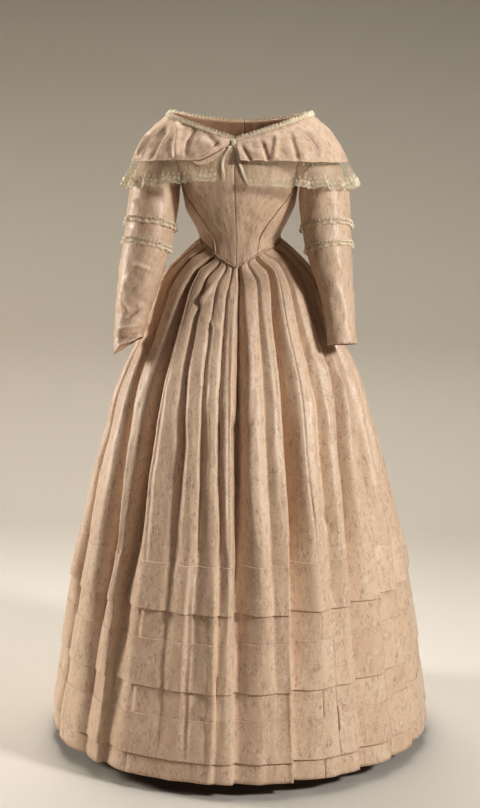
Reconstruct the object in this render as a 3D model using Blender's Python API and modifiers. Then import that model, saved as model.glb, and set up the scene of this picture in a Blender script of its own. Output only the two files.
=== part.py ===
"""Evening dress of the 1840s in figured silk, hollow and in its worn pose.

Metres, +Z up. The origin is the centre of the wearer's waist, where bodice and skirt meet. The front
faces -Y, and the wearer's left is +X. Angles run round the body in degrees: 0 is the centre front, 90 the
wearer's left side and 180 the centre back. Round an arm, 0 is its outer side and 90 its back.

Every silk piece is an open surface, worked out from the section tables below, that Solidify turns into a
wall. A piece that lies on another is made from the same points, moved out.
"""

import math
from typing import NamedTuple, Sequence

import bpy
import numpy as np

# Cloth
SILK_WALL = 0.0012
LACE_WALL = 0.0010
SEAM_GAP = 0.0004
LAYER_GAP = 0.0004
WAIST_SEAM_GAP = 0.0008

# Waist and neckline
WAIST_POINT_DROP = 0.048
WAIST_BACK_RISE = 0.008
NECK_HALF_WIDTH = 0.142
NECK_FRONT_DEPTH = 0.087
NECK_BACK_DEPTH = 0.084
NECK_FRONT_HEIGHT = 0.213
NECK_SHOULDER_HEIGHT = 0.260
NECK_BACK_HEIGHT = 0.238
BODICE_NECK_INSET = 0.0022

# Armhole
ARMHOLE_CENTRE = (0.1495, 0.1745)
ARMHOLE_LEAN = 0.0275
ARMHOLE_SADDLE = 0.022
ARMHOLE_HALF_DEPTH = 0.0605
ARMHOLE_HALF_HEIGHT = 0.0485
STRAP_HALF_ANGLE = 65.0
STRAP_NECK_FRONT = 52.0
STRAP_NECK_BACK = 128.0

# Bertha and its lace
BERTHA_HALF_WIDTH = 0.221
BERTHA_FRONT_DEPTH = 0.124
BERTHA_BACK_DEPTH = 0.118
BERTHA_SIDE_HEIGHT = 0.163
BERTHA_FRONT_HEIGHT = 0.173
BERTHA_BACK_HEIGHT = 0.166
FLOUNCE_HALF_WIDTH = 0.238
FLOUNCE_FRONT_DEPTH = 0.131
FLOUNCE_BACK_DEPTH = 0.125
FLOUNCE_SIDE_HEIGHT = 0.118
FLOUNCE_FRONT_HEIGHT = 0.130
FLOUNCE_WAVES = 13
FLOUNCE_WAVE_DEPTH = 0.0055
FLOUNCE_STARTS = (3.6, 4.5)
FLOUNCE_FRONT_CLIMB = 0.010
TURNED_END_FALLS = (0.10, 0.34, 0.30, 0.06)
BERTHA_COLUMNS = 20
BERTHA_ROWS = 4
NECK_LACE_SHARE = 0.08
NECK_LACE_RISE = 0.005
NECK_LACE_STANDOFF = 0.0020

# Sleeves
SLEEVE_BLEND_HEIGHT = 0.100
SLEEVE_COLUMNS = 14
TIER_UPPER_ROWS = (0.037, 0.055, 0.100, 0.125, 0.150)
TIER_LOWER_ROWS = (-0.004, 0.010, 0.050)
TIER_UPPER_LIFT = 0.0028
TIER_LOWER_LIFT = 0.0009
SLEEVE_LACE_WIDTH = 0.014
SLEEVE_LACE_WAVES = 10
RIGHT_CUFF = (0.002, 0.021)
LEFT_CUFF = (-0.008, 0.0)

# Piping and ribbon
PIPING_RADIUS = 0.0012
RIBBON_WIDTH = 0.0065

# Skirt
HEM_HEIGHT = -1.030
WAIST_DROP_REACH = 0.12
BACK_GATHERS = 13
SHOULDER_SHARE = (0.16, 0.27)
TUCK_LIFT = 0.0042
TUCK_LINES = ((-0.606, -0.699), (-0.755, -0.851), (-0.906, -0.989))
SKIRT_ROWS = (0.0, -0.020, -0.050, -0.094, -0.150, -0.220, -0.320, -0.450) + tuple(
    height for line in TUCK_LINES for height in line
) + (HEM_HEIGHT,)


class Section(NamedTuple):
    """One level round the body: its half width and its reach to the front and the back."""

    height: float
    half_width: float
    front: float
    back: float


BODY = (
    Section(-0.060, 0.0860, 0.0825, 0.0780),
    Section(0.000, 0.0805, 0.0740, 0.0700),
    Section(0.031, 0.0930, 0.0830, 0.0760),
    Section(0.064, 0.1100, 0.0960, 0.0850),
    Section(0.100, 0.1180, 0.1080, 0.0920),
    Section(0.135, 0.1230, 0.1130, 0.0960),
    Section(0.170, 0.1430, 0.1090, 0.0980),
    Section(0.205, 0.1600, 0.0960, 0.0940),
)

SKIRT = (
    Section(0.000, 0.0815, 0.0750, 0.0715),
    Section(-0.031, 0.1190, 0.0780, 0.1160),
    Section(-0.062, 0.1500, 0.0940, 0.1500),
    Section(-0.094, 0.1690, 0.1220, 0.1700),
    Section(-0.125, 0.1790, 0.1420, 0.1860),
    Section(-0.188, 0.2030, 0.1760, 0.2140),
    Section(-0.252, 0.2350, 0.2120, 0.2460),
    Section(-0.316, 0.2610, 0.2440, 0.2700),
    Section(-0.380, 0.2790, 0.2660, 0.2880),
    Section(-0.510, 0.3160, 0.3060, 0.3200),
    Section(-0.609, 0.3400, 0.3320, 0.3440),
    Section(-0.708, 0.3600, 0.3540, 0.3620),
    Section(-0.850, 0.3800, 0.3780, 0.3840),
    Section(-1.030, 0.4050, 0.4030, 0.4080),
)


class Sleeve(NamedTuple):
    """One level down the arm: its centre, and its half widths for the right and left arm."""

    height: float
    outward: float
    forward: float
    right_half_width: float
    left_half_width: float
    half_depth: float


SLEEVE = (
    Sleeve(0.140, 0.1720, 0.002, 0.0490, 0.0490, 0.0585),
    Sleeve(0.100, 0.1742, 0.015, 0.0495, 0.0495, 0.0570),
    Sleeve(0.055, 0.1785, 0.030, 0.0487, 0.0482, 0.0550),
    Sleeve(0.010, 0.1840, 0.044, 0.0480, 0.0465, 0.0530),
    Sleeve(-0.030, 0.1910, 0.055, 0.0475, 0.0435, 0.0500),
    Sleeve(-0.065, 0.1985, 0.064, 0.0450, 0.0385, 0.0470),
    Sleeve(-0.115, 0.2080, 0.078, 0.0400, 0.0330, 0.0410),
    Sleeve(-0.160, 0.2150, 0.095, 0.0330, 0.0305, 0.0360),
    Sleeve(-0.203, 0.2205, 0.112, 0.0265, 0.0300, 0.0320),
)


class Seam(NamedTuple):
    """Where the front and back curved seams stand, in degrees, at a height."""

    height: float
    front: float
    back: float


CURVED_SEAMS = (
    Seam(-0.044, 24.0, 162.0),
    Seam(0.000, 31.0, 160.0),
    Seam(0.031, 37.0, 156.0),
    Seam(0.064, 48.0, 150.0),
    Seam(0.100, 66.0, 138.0),
    Seam(0.124, 75.0, 112.0),
)
SIDE_SEAM = 94.0
LOWER_BODICE = (0.0, 0.022, 0.045, 0.068, 0.090, 0.108)
ARMHOLE_LEVELS = (0.128, 0.150, 0.173, 0.195)
FRONT_COLUMNS = 4
SIDE_COLUMNS = 4
BACK_COLUMNS = 3


class Valley(NamedTuple):
    """One valley between two pleats: its angle at five heights, and its depth above and below."""

    waist: float
    hip: float
    thigh: float
    knee: float
    hem: float
    upper_depth: float
    lower_depth: float


VALLEY_HEIGHTS = (-0.010, -0.180, -0.430, -0.680, -0.930)
FRONT_VALLEYS = (
    Valley(-88, -100, -92, -88, -88, 1.0, 0.9),
    Valley(-68, -82, -76, -72, -72, 1.0, 0.9),
    Valley(-50, -64, -61, -57, -58, 1.0, 0.9),
    Valley(-33, -45, -43, -44, -50, 1.0, 1.0),
    Valley(-22, -35, -34, -34, -36, 1.3, 0.9),
    Valley(-13, -29, -25, -23, -22, 0.5, 0.9),
    Valley(-6, -21, -15, -16, -11, 0.8, 0.9),
    Valley(1, -4, -4, -4, -5, 0.7, 0.8),
    Valley(9, 6, 2, 2, 2, 0.5, 0.2),
    Valley(18, 14, 9, 8, 10, 1.3, 1.0),
    Valley(30, 28, 19, 14, 15, 0.8, 0.3),
    Valley(43, 42, 30, 23, 21, 1.4, 1.0),
    Valley(58, 52, 42, 35, 37, 0.9, 0.9),
    Valley(75, 68, 58, 52, 57, 1.0, 0.9),
    Valley(91, 82, 70, 72, 76, 0.9, 0.9),
    Valley(106, 95, 82, 84, 92, 0.9, 0.8),
)
PLEAT_DEPTHS = (
    (0.000, 0.0040),
    (-0.030, 0.0080),
    (-0.094, 0.0150),
    (-0.180, 0.0210),
    (-0.320, 0.0260),
    (-0.450, 0.0250),
    (-0.606, 0.0190),
    (-0.850, 0.0160),
    (-1.030, 0.0140),
)
SKIRT_SEAM_PLEATS = (4, 10, 14, 18, 23, 28)


class Fold(NamedTuple):
    """One soft fold of the bertha: where it runs, how wide and how far out."""

    angle: float
    half_width: float
    rise: float


BERTHA_FOLDS = (
    Fold(-72.0, 7.0, 0.0035),
    Fold(-60.0, 6.0, -0.0045),
    Fold(-48.0, 7.0, 0.0035),
    Fold(-30.0, 8.0, -0.0025),
    Fold(24.0, 6.0, -0.0030),
    Fold(36.0, 7.0, 0.0030),
    Fold(52.0, 8.0, -0.0025),
    Fold(74.0, 9.0, 0.0025),
    Fold(112.0, 10.0, -0.0025),
    Fold(140.0, 12.0, 0.0030),
    Fold(-112.0, 10.0, -0.0025),
    Fold(-140.0, 12.0, 0.0030),
)


class Finish(NamedTuple):
    """The plain look of one material."""

    name: str
    colour: tuple[float, float, float]
    roughness: float


SILK = Finish("figured_silk", (0.72, 0.50, 0.38), 0.42)
LACE = Finish("ecru_lace", (0.80, 0.74, 0.60), 0.80)
RIBBON = Finish("cream_ribbon", (0.84, 0.78, 0.62), 0.35)


def smooth_value(points: Sequence[tuple[float, float]], at: float) -> float:
    """Read a table as a smooth curve that never overshoots its rows."""
    rows = sorted(points)
    places = np.array([row[0] for row in rows])
    values = np.array([row[1] for row in rows])
    place = min(max(at, places[0]), places[-1])
    index = int(min(max(np.searchsorted(places, place) - 1, 0), len(places) - 2))
    steps = np.diff(values) / np.diff(places)
    slopes = np.zeros(len(places))
    same_way = steps[:-1] * steps[1:] > 0.0
    means = 2.0 * steps[:-1] * steps[1:] / np.where(same_way, steps[:-1] + steps[1:], 1.0)
    slopes[1:-1] = np.where(same_way, means, 0.0)
    slopes[0], slopes[-1] = steps[0], steps[-1]
    span = places[index + 1] - places[index]
    t = (place - places[index]) / span
    rise = (2 * t**3 - 3 * t**2 + 1) * values[index] + (3 * t**2 - 2 * t**3) * values[index + 1]
    lean = (t**3 - 2 * t**2 + t) * slopes[index] + (t**3 - t**2) * slopes[index + 1]
    return float(rise + lean * span)


def section_at(table: Sequence[Section], height: float) -> Section:
    """The section of a body or skirt table at any height."""
    return Section(
        height,
        smooth_value([(row.height, row.half_width) for row in table], height),
        smooth_value([(row.height, row.front) for row in table], height),
        smooth_value([(row.height, row.back) for row in table], height),
    )


def plan_point(section: Section, angle: float, out: float = 0.0) -> np.ndarray:
    """A point round a section at an angle, moved out from the axis."""
    turn = math.radians(angle)
    reach = section.front if math.cos(turn) > 0.0 else section.back
    x = section.half_width * math.sin(turn) + out * math.sin(turn)
    y = -reach * math.cos(turn) - out * math.cos(turn)
    return np.array((x, y, section.height))


def blend(first: np.ndarray, second: np.ndarray, share: float) -> np.ndarray:
    """The point a share of the way from one point to another."""
    return first * (1.0 - share) + second * share


def ease(share: float) -> float:
    """A share from 0 to 1 with soft ends."""
    held = min(max(share, 0.0), 1.0)
    return held * held * (3.0 - 2.0 * held)


def waist_height(angle: float) -> float:
    """The height of the waist seam, which dips to a point in front and rises a little behind."""
    held = abs((angle + 180.0) % 360.0 - 180.0)
    if held < 90.0:
        dip = WAIST_POINT_DROP * (1.0 - math.sin(math.radians(held)))
    else:
        dip = 0.0
    return WAIST_BACK_RISE * ease((held - 62.0) / 50.0) - dip


def body_point(angle: float, height: float, out: float = 0.0) -> np.ndarray:
    """A point on the bodice's outer surface."""
    return plan_point(section_at(BODY, height), angle, out)


def neck_point(angle: float, out: float = 0.0, up: float = 0.0) -> np.ndarray:
    """A point on the bertha's neck edge, which runs low across both shoulders."""
    turn = math.radians(angle)
    side = abs(math.sin(turn))
    if math.cos(turn) > 0.0:
        height = NECK_FRONT_HEIGHT + (NECK_SHOULDER_HEIGHT - NECK_FRONT_HEIGHT) * side
    else:
        height = NECK_BACK_HEIGHT + (NECK_SHOULDER_HEIGHT - NECK_BACK_HEIGHT) * side * side
    neck = Section(height + up, NECK_HALF_WIDTH, NECK_FRONT_DEPTH, NECK_BACK_DEPTH)
    return plan_point(neck, angle, out)


def armhole_point(side: int, angle: float, out: float = 0.0) -> np.ndarray:
    """A point on the armhole seam, at an angle round the arm."""
    turn = math.radians(angle)
    x = ARMHOLE_CENTRE[0] + ARMHOLE_LEAN * math.cos(turn) - ARMHOLE_SADDLE * math.sin(turn) ** 2
    y = ARMHOLE_HALF_DEPTH * math.sin(turn)
    z = ARMHOLE_CENTRE[1] + ARMHOLE_HALF_HEIGHT * math.cos(turn)
    return np.array((side * (x + out), y, z))


def armhole_angle(height: float) -> float:
    """The angle round the arm, 0 to 180, where the armhole seam stands at a height."""
    share = (height - ARMHOLE_CENTRE[1]) / ARMHOLE_HALF_HEIGHT
    return math.degrees(math.acos(min(max(share, -1.0), 1.0)))


def bodice_row(side: int, start: float, end: float, level: float, columns: int) -> list[np.ndarray]:
    """One row of a bodice piece below the armhole, between two angles of one side."""
    row = []
    for column in range(columns + 1):
        angle = start + (end - start) * column / columns
        drop = waist_height(angle) * max(0.0, 1.0 - level / 0.06)
        row.append(body_point(side * angle, level + drop))
    return row


def armhole_row(side: int, start: float, level: float, columns: int, back: bool) -> list[np.ndarray]:
    """One row of a front or back piece, from the centre to the armhole seam."""
    arm_angle = armhole_angle(level) * (1.0 if back else -1.0)
    edge = armhole_point(side, arm_angle)
    reach = section_at(BODY, level)
    depth = reach.back if back else reach.front
    half = math.degrees(math.atan2(abs(edge[0]) / reach.half_width, abs(edge[1]) / depth))
    end = 180.0 - half if back else half
    miss = edge - body_point(side * end, level)
    row = []
    for column in range(columns + 1):
        share = column / columns
        angle = start + (end - start) * share
        row.append(body_point(side * angle, level) + miss * share * share)
    return row


def neck_row(side: int, start: float, end: float, columns: int) -> list[np.ndarray]:
    """The top row of a bodice piece, just inside the bertha's neck edge."""
    angles = np.linspace(start, end, columns + 1)
    return [neck_point(side * angle, -BODICE_NECK_INSET, -0.001) for angle in angles]


def seam_angle(level: float, back: bool) -> float:
    """The angle of a curved seam at a height."""
    return smooth_value([(row.height, row.back if back else row.front) for row in CURVED_SEAMS], level)


def trim_row(row: Sequence[np.ndarray], start_gap: float, end_gap: float) -> list[np.ndarray]:
    """Shorten a row of points at its ends, for the gap at a seam."""
    points = list(row)
    first = points[1] - points[0]
    last = points[-2] - points[-1]
    points[0] = points[0] + first / np.linalg.norm(first) * start_gap
    points[-1] = points[-1] + last / np.linalg.norm(last) * end_gap
    return points


def main_bodice_grid(side: int, back: bool, columns: int) -> list[list[np.ndarray]]:
    """A front or back piece, from its centre line to the curved seam and the armhole."""
    centre = 180.0 if back else 0.0
    grid = [bodice_row(side, centre, seam_angle(level, back), level, columns) for level in LOWER_BODICE]
    grid += [armhole_row(side, centre, level, columns, back) for level in ARMHOLE_LEVELS]
    grid.append(neck_row(side, centre, STRAP_NECK_BACK if back else STRAP_NECK_FRONT, columns))
    return [trim_row(row, SEAM_GAP / 2, SEAM_GAP / 2) for row in grid]


def side_bodice_grid(side: int, back: bool, columns: int) -> list[list[np.ndarray]]:
    """A side piece, from the curved seam to the side seam, up to the armhole."""
    grid = []
    for level in LOWER_BODICE:
        grid.append(bodice_row(side, seam_angle(level, back), SIDE_SEAM, level, columns))
    low = armhole_angle(ARMHOLE_LEVELS[0]) * (1.0 if back else -1.0)
    under = 176.0 if back else -176.0
    top = [armhole_point(side, angle) for angle in np.linspace(low, under, columns + 1)]
    grid.append(top)
    return [trim_row(row, SEAM_GAP / 2, SEAM_GAP / 2) for row in grid]


def strap_grid(side: int, columns: int) -> list[list[np.ndarray]]:
    """The dropped shoulder, from the neck edge down to the top of the armhole."""
    upper = neck_row(side, STRAP_NECK_FRONT, STRAP_NECK_BACK, columns)
    angles = np.linspace(-STRAP_HALF_ANGLE, STRAP_HALF_ANGLE, columns + 1)
    lower = [armhole_point(side, angle) for angle in angles]
    lift = np.array((side * 0.002, 0.0, 0.002))
    middle = [blend(top, low, 0.5) + lift for top, low in zip(upper, lower)]
    return [trim_row(row, SEAM_GAP / 2, SEAM_GAP / 2) for row in (lower, middle, upper)]


def box_power(value: float, power: float) -> float:
    """A sine or cosine raised to a power with its sign kept, for a squarer plan."""
    return math.copysign(abs(value) ** power, value)


def collar_point(angle: float, width: float, front: float, back: float, height: float) -> np.ndarray:
    """A point on a collar's lower edge, whose plan goes round both arms."""
    turn = math.radians(angle)
    reach = front if math.cos(turn) > 0.0 else back
    return np.array((width * box_power(math.sin(turn), 0.75), -reach * box_power(math.cos(turn), 0.9), height))


def bertha_edge(angle: float) -> np.ndarray:
    """A point on the bertha's lower edge, whose right front climbs to the bow."""
    turn = math.radians(angle)
    ends = BERTHA_FRONT_HEIGHT if math.cos(turn) > 0.0 else BERTHA_BACK_HEIGHT
    height = BERTHA_SIDE_HEIGHT + (ends - BERTHA_SIDE_HEIGHT) * math.cos(turn) ** 2
    point = collar_point(angle, BERTHA_HALF_WIDTH, BERTHA_FRONT_DEPTH, BERTHA_BACK_DEPTH, height)
    if -13.0 < angle < 0.0:
        climb = ease(1.0 + angle / 13.0)
        point = blend(point, neck_point(angle, 0.004, -0.006), climb)
    return point


def fold_rise(angle: float) -> float:
    """How far the bertha's soft folds stand out at an angle."""
    rise = 0.0
    for fold in BERTHA_FOLDS:
        rise += fold.rise * math.exp(-(((angle - fold.angle) / fold.half_width) ** 2))
    return rise


def bertha_point(angle: float, share: float, out: float = 0.0) -> np.ndarray:
    """A point on the bertha, from its neck edge (0) to its lower edge (1)."""
    turn = math.radians(angle)
    point = blend(neck_point(angle), bertha_edge(angle), share)
    side = math.sin(turn) ** 2
    bulge = 4.0 * share * (1.0 - share)
    lift = fold_rise(angle) * share + out + (0.003 + 0.006 * side) * bulge
    point[0] += lift * math.sin(turn)
    point[1] -= lift * math.cos(turn)
    point[2] += (0.002 + 0.005 * side) * bulge
    return point


def bertha_angles(side: int, share: float) -> list[float]:
    """The angles of the bertha's columns at a share of its depth, closer together at the front."""
    start = 1.5 + (2.5 * share if side > 0 else 0.5 * share)
    spread = np.linspace(0.0, 1.0, BERTHA_COLUMNS + 1) ** 1.15
    return [side * (start + (180.0 - start) * place) for place in spread]


def bertha_grid(side: int) -> list[list[np.ndarray]]:
    """One half of the bertha, from the centre front to the centre back."""
    grid = []
    for row in range(BERTHA_ROWS, -1, -1):
        share = row / BERTHA_ROWS
        points = [bertha_point(angle, share) for angle in bertha_angles(side, share)]
        grid.append(trim_row(points, 0.0, SEAM_GAP / 2))
    return grid


def flounce_point(angle: float, share: float) -> np.ndarray:
    """A point on the net flounce, from the bertha's lower edge (0) to its own (1)."""
    turn = math.radians(angle)
    front = math.cos(turn) > 0.0
    ends = FLOUNCE_FRONT_HEIGHT if front else FLOUNCE_SIDE_HEIGHT
    height = FLOUNCE_SIDE_HEIGHT + (ends - FLOUNCE_SIDE_HEIGHT) * math.cos(turn) ** 2
    phase = math.cos(turn * FLOUNCE_WAVES * 2.0 + 0.9 * math.sin(turn * 5.0))
    phase *= 0.35 + 0.65 * math.sin(turn) ** 2
    if -45.0 < angle < 0.0:
        height += FLOUNCE_FRONT_CLIMB * ease(1.0 + angle / 45.0)
    low = collar_point(angle, FLOUNCE_HALF_WIDTH, FLOUNCE_FRONT_DEPTH, FLOUNCE_BACK_DEPTH, height)
    low[2] += 0.004 * phase
    top = bertha_point(angle, 1.0)
    top[2] -= LAYER_GAP + 0.0002
    point = blend(top, low, share)
    ripple = FLOUNCE_WAVE_DEPTH * phase * share
    point[0] += ripple * math.sin(turn)
    point[1] -= ripple * math.cos(turn)
    return point


def flounce_angles(side: int) -> list[float]:
    """The angles of the flounce's columns, four to each wave."""
    start = FLOUNCE_STARTS[0] if side > 0 else FLOUNCE_STARTS[1]
    return [side * angle for angle in np.linspace(start, 180.0, FLOUNCE_WAVES * 4 + 1)]


def flounce_grid(side: int) -> list[list[np.ndarray]]:
    """One half of the flounce, its lower edge first."""
    angles = flounce_angles(side)
    grid = [[flounce_point(angle, share) for angle in angles] for share in (1.0, 0.0)]
    return [trim_row(row, 0.0, SEAM_GAP / 2) for row in grid]


def turned_end_grid() -> list[list[np.ndarray]]:
    """The end of the right bertha, turned under its diagonal fold and lying on the net below it."""
    upper, lower = [], []
    for angle, fall in zip(flounce_angles(-1), TURNED_END_FALLS):
        turn = math.radians(angle)
        away = np.array((math.sin(turn), -math.cos(turn), 0.0)) * LAYER_GAP
        upper.append(flounce_point(angle, 0.02) + away * 2.0)
        lower.append(flounce_point(angle, fall) + away * 6.0)
    return [lower, upper]


def neck_lace_grid(side: int) -> list[list[np.ndarray]]:
    """Half of the narrow lace, sewn on the bertha just under its neck edge and standing up from it."""
    low, high = [], []
    for index, angle in enumerate(bertha_angles(side, NECK_LACE_SHARE)):
        stir = 0.0006 * (1.0 if index % 2 else -1.0)
        low.append(bertha_point(angle, NECK_LACE_SHARE, NECK_LACE_STANDOFF))
        high.append(neck_point(angle, 0.0028 + stir, NECK_LACE_RISE))
    return [trim_row(row, 0.0, SEAM_GAP / 2) for row in (low, high)]


def sleeve_frame(side: int, height: float) -> tuple[np.ndarray, np.ndarray, np.ndarray, float, float]:
    """The centre of the arm at a height, the two directions across it and its half sizes."""

    def centre(level: float) -> np.ndarray:
        outward = smooth_value([(row.height, row.outward) for row in SLEEVE], level)
        forward = smooth_value([(row.height, row.forward) for row in SLEEVE], level)
        return np.array((side * outward, -forward, level))

    held = min(height, SLEEVE_BLEND_HEIGHT)
    step = 0.006
    along = centre(held + step) - centre(held - step)
    along = along / np.linalg.norm(along)
    across = np.array((float(side), 0.0, 0.0))
    across = across - along * np.dot(across, along)
    across = across / np.linalg.norm(across)
    depth = np.array((0.0, 1.0, 0.0))
    depth = depth - along * np.dot(depth, along)
    depth = depth / np.linalg.norm(depth)
    widths = [(row.height, row.left_half_width if side > 0 else row.right_half_width) for row in SLEEVE]
    half_width = smooth_value(widths, held)
    half_depth = smooth_value([(row.height, row.half_depth) for row in SLEEVE], held)
    return centre(held), across, depth, half_width, half_depth


def sleeve_point(side: int, height: float, angle: float, out: float = 0.0) -> np.ndarray:
    """A point on the sleeve's outer surface, up to the armhole seam."""
    centre, across, depth, half_width, half_depth = sleeve_frame(side, height)
    turn = math.radians(angle)
    point = centre + across * (half_width + out) * math.cos(turn) + depth * (half_depth + out) * math.sin(turn)
    if height > SLEEVE_BLEND_HEIGHT:
        share = (height - SLEEVE_BLEND_HEIGHT) / (ARMHOLE_CENTRE[1] - SLEEVE_BLEND_HEIGHT)
        seam = armhole_point(side, angle, 0.0018)
        heart = armhole_point(side, 90.0) * np.array((1.0, 0.0, 1.0))
        away = (seam - heart) / np.linalg.norm(seam - heart)
        point = blend(point, seam + away * out, share)
    return point


def tube_rows(side: int, rows: Sequence[tuple[float, float]]) -> list[list[np.ndarray]]:
    """Rings round a sleeve; each row gives a height and how far outside the sleeve it lies."""
    angles = [side * 360.0 * column / SLEEVE_COLUMNS for column in range(SLEEVE_COLUMNS)]
    return [[sleeve_point(side, height, angle, out) for angle in angles] for height, out in rows]


def sleeve_grid(side: int) -> list[list[np.ndarray]]:
    """The long sleeve, from the cuff up to the armhole; the right cuff is seen cut aslant."""
    heights = (-0.203, -0.160, -0.115, -0.065, -0.030, 0.010, 0.055, 0.100, 0.125, 0.150, ARMHOLE_CENTRE[1])
    grid = tube_rows(side, [(height, 0.0) for height in heights])
    longer, slant = LEFT_CUFF if side > 0 else RIGHT_CUFF
    for column, point in enumerate(grid[0]):
        turn = 2.0 * math.pi * column / SLEEVE_COLUMNS
        along = (point - grid[1][column]) / np.linalg.norm(point - grid[1][column])
        grid[0][column] = point + along * (longer + slant * math.cos(turn))
    return grid


def tier_grid(side: int, heights: Sequence[float], lift: float) -> list[list[np.ndarray]]:
    """A short tier over the sleeve, sewn at its top and standing a little off below."""
    span = heights[-1] - heights[0]
    near = LAYER_GAP + 0.0002
    rows = [(height, near + (lift - near) * (heights[-1] - height) / span) for height in heights]
    return tube_rows(side, rows)


def sleeve_lace_grid(side: int, bottom: float, lift: float) -> list[list[np.ndarray]]:
    """The frill at a tier's edge, rippling clear of it."""
    columns = SLEEVE_LACE_WAVES * 2
    low, high = [], []
    for column in range(columns):
        angle = side * 360.0 * column / columns
        ripple = 0.0030 if column % 2 else 0.0008
        low.append(sleeve_point(side, bottom - SLEEVE_LACE_WIDTH * 0.6, angle, lift + ripple))
        high.append(sleeve_point(side, bottom + SLEEVE_LACE_WIDTH * 0.4, angle, lift + 0.0004))
    return [low, high]


def all_valleys() -> list[Valley]:
    """The front's pleat valleys, then the even gathers that close the ring at the back."""
    last = FRONT_VALLEYS[-1]
    first = FRONT_VALLEYS[0]
    valleys = list(FRONT_VALLEYS)
    for index in range(1, BACK_GATHERS + 1):
        share = index / (BACK_GATHERS + 1)
        angles = [last[place] + (first[place] + 360.0 - last[place]) * share for place in range(5)]
        valleys.append(Valley(*angles, 0.85 + 0.15 * math.cos(index * 2.1), 0.85 + 0.2 * math.sin(index * 1.7)))
    return valleys


VALLEYS = all_valleys()


def valley_angle(index: int, height: float) -> float:
    """The angle of a valley at a height; the index may run past the last pleat."""
    turns, place = divmod(index, len(VALLEYS))
    valley = VALLEYS[place]
    angles = [(level, valley[column]) for column, level in enumerate(VALLEY_HEIGHTS)]
    return smooth_value(angles, height) + 360.0 * turns


def valley_depth(index: int, height: float) -> float:
    """The depth of a valley at a height."""
    valley = VALLEYS[index % len(VALLEYS)]
    share = ease((-0.20 - height) / 0.38)
    factor = valley.upper_depth * (1.0 - share) + valley.lower_depth * share
    return smooth_value(PLEAT_DEPTHS, height) * factor


def skirt_surface(angle: float, height: float, inward: float) -> np.ndarray:
    """A point of the skirt at an angle, sunk in from its outline."""
    top = waist_height(angle)
    reach = 0.006 + 0.05 * max(0.0, -top / WAIST_POINT_DROP)
    raised = max(0.0, top) * max(0.0, 1.0 + height / WAIST_DROP_REACH)
    outline = plan_point(section_at(SKIRT, height - raised), angle, -inward)
    waist = plan_point(section_at(BODY, height), angle, -inward)
    outline[2] = height
    return blend(waist, outline, ease((top - height) / reach))


def skirt_column(pleat: int, place: int, level: float) -> np.ndarray:
    """One of a pleat's four columns at a level: its valley, two shoulders and the crown between."""
    guess = valley_angle(pleat, level) + (valley_angle(pleat + 1, level) - valley_angle(pleat, level)) * 0.5
    fall = waist_height(guess) * max(0.0, 1.0 + level / WAIST_DROP_REACH)
    height = level + fall - (WAIST_SEAM_GAP if level == 0.0 else 0.0)
    start = valley_angle(pleat, height)
    end = valley_angle(pleat + 1, height)
    width = end - start
    low = ease(-height / 0.5)
    share = SHOULDER_SHARE[0] + (SHOULDER_SHARE[1] - SHOULDER_SHARE[0]) * low
    sunk = 0.06 + 0.22 * low
    angle = start
    depth = valley_depth(pleat, height)
    if place == 1:
        angle, depth = start + width * share, depth * sunk
    elif place == 2:
        angle, depth = start + width * 0.5, 0.0
    elif place == 3:
        angle, depth = end - width * share, valley_depth(pleat + 1, height) * sunk
    fall = waist_height(angle) * max(0.0, 1.0 + level / WAIST_DROP_REACH)
    height = level + fall - (WAIST_SEAM_GAP if level == 0.0 else 0.0)
    return skirt_surface(angle, height, depth)


def skirt_ring(level: float) -> list[np.ndarray]:
    """Every column of the skirt at one level, all the way round."""
    return [skirt_column(pleat, place, level) for pleat in range(len(VALLEYS)) for place in range(4)]


def skirt_panel_grid(rings: Sequence[Sequence[np.ndarray]], first: int, last: int) -> list[list[np.ndarray]]:
    """One width of silk, cut half way between a shoulder and the crown of two pleats."""
    count = len(VALLEYS) * 4
    start = first * 4 + 1
    end = last * 4 + 1
    grid = []
    for ring in rings:
        row = [blend(ring[start % count], ring[(start + 1) % count], 0.5)]
        row += [ring[column % count] for column in range(start + 1, end + 1)]
        row.append(blend(ring[end % count], ring[(end + 1) % count], 0.5))
        grid.append(trim_row(row, SEAM_GAP / 2, SEAM_GAP / 2))
    return grid


def ring_normals(lower: Sequence[np.ndarray], upper: Sequence[np.ndarray]) -> list[np.ndarray]:
    """The directions out of the wall along a ring, from its neighbours and the ring above."""
    normals = []
    count = len(lower)
    for index in range(count):
        along = lower[(index + 1) % count] - lower[index - 1]
        up = upper[index] - lower[index]
        normal = np.cross(along, up)
        normals.append(normal / np.linalg.norm(normal))
    return normals


def tuck_grid(line: tuple[float, float]) -> list[list[np.ndarray]]:
    """A tuck, from its free edge up to its stitching, made from the skirt's points moved out."""
    stitch, edge = line
    upper = skirt_ring(stitch)
    lower = skirt_ring(edge)
    normals = ring_normals(lower, upper)
    near = [point + normal * LAYER_GAP for point, normal in zip(upper, normals)]
    far = [point + normal * TUCK_LIFT for point, normal in zip(lower, normals)]
    return [far, near]


def material(finish: Finish) -> bpy.types.Material:
    """The Principled material of a finish, made once."""
    made = bpy.data.materials.get(finish.name)
    if made is None:
        made = bpy.data.materials.new(finish.name)
        made.use_nodes = True
        shader = made.node_tree.nodes["Principled BSDF"]
        shader.inputs["Base Color"].default_value = (*finish.colour, 1.0)
        shader.inputs["Roughness"].default_value = finish.roughness
        shader.inputs["Metallic"].default_value = 0.0
    return made


def add_object(name: str, data: bpy.types.ID, finish: Finish) -> bpy.types.Object:
    """Put an object with its material in the dress's collection."""
    made = bpy.data.objects.new(name, data)
    bpy.data.collections["evening_dress"].objects.link(made)
    made.data.materials.append(material(finish))
    return made


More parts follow.
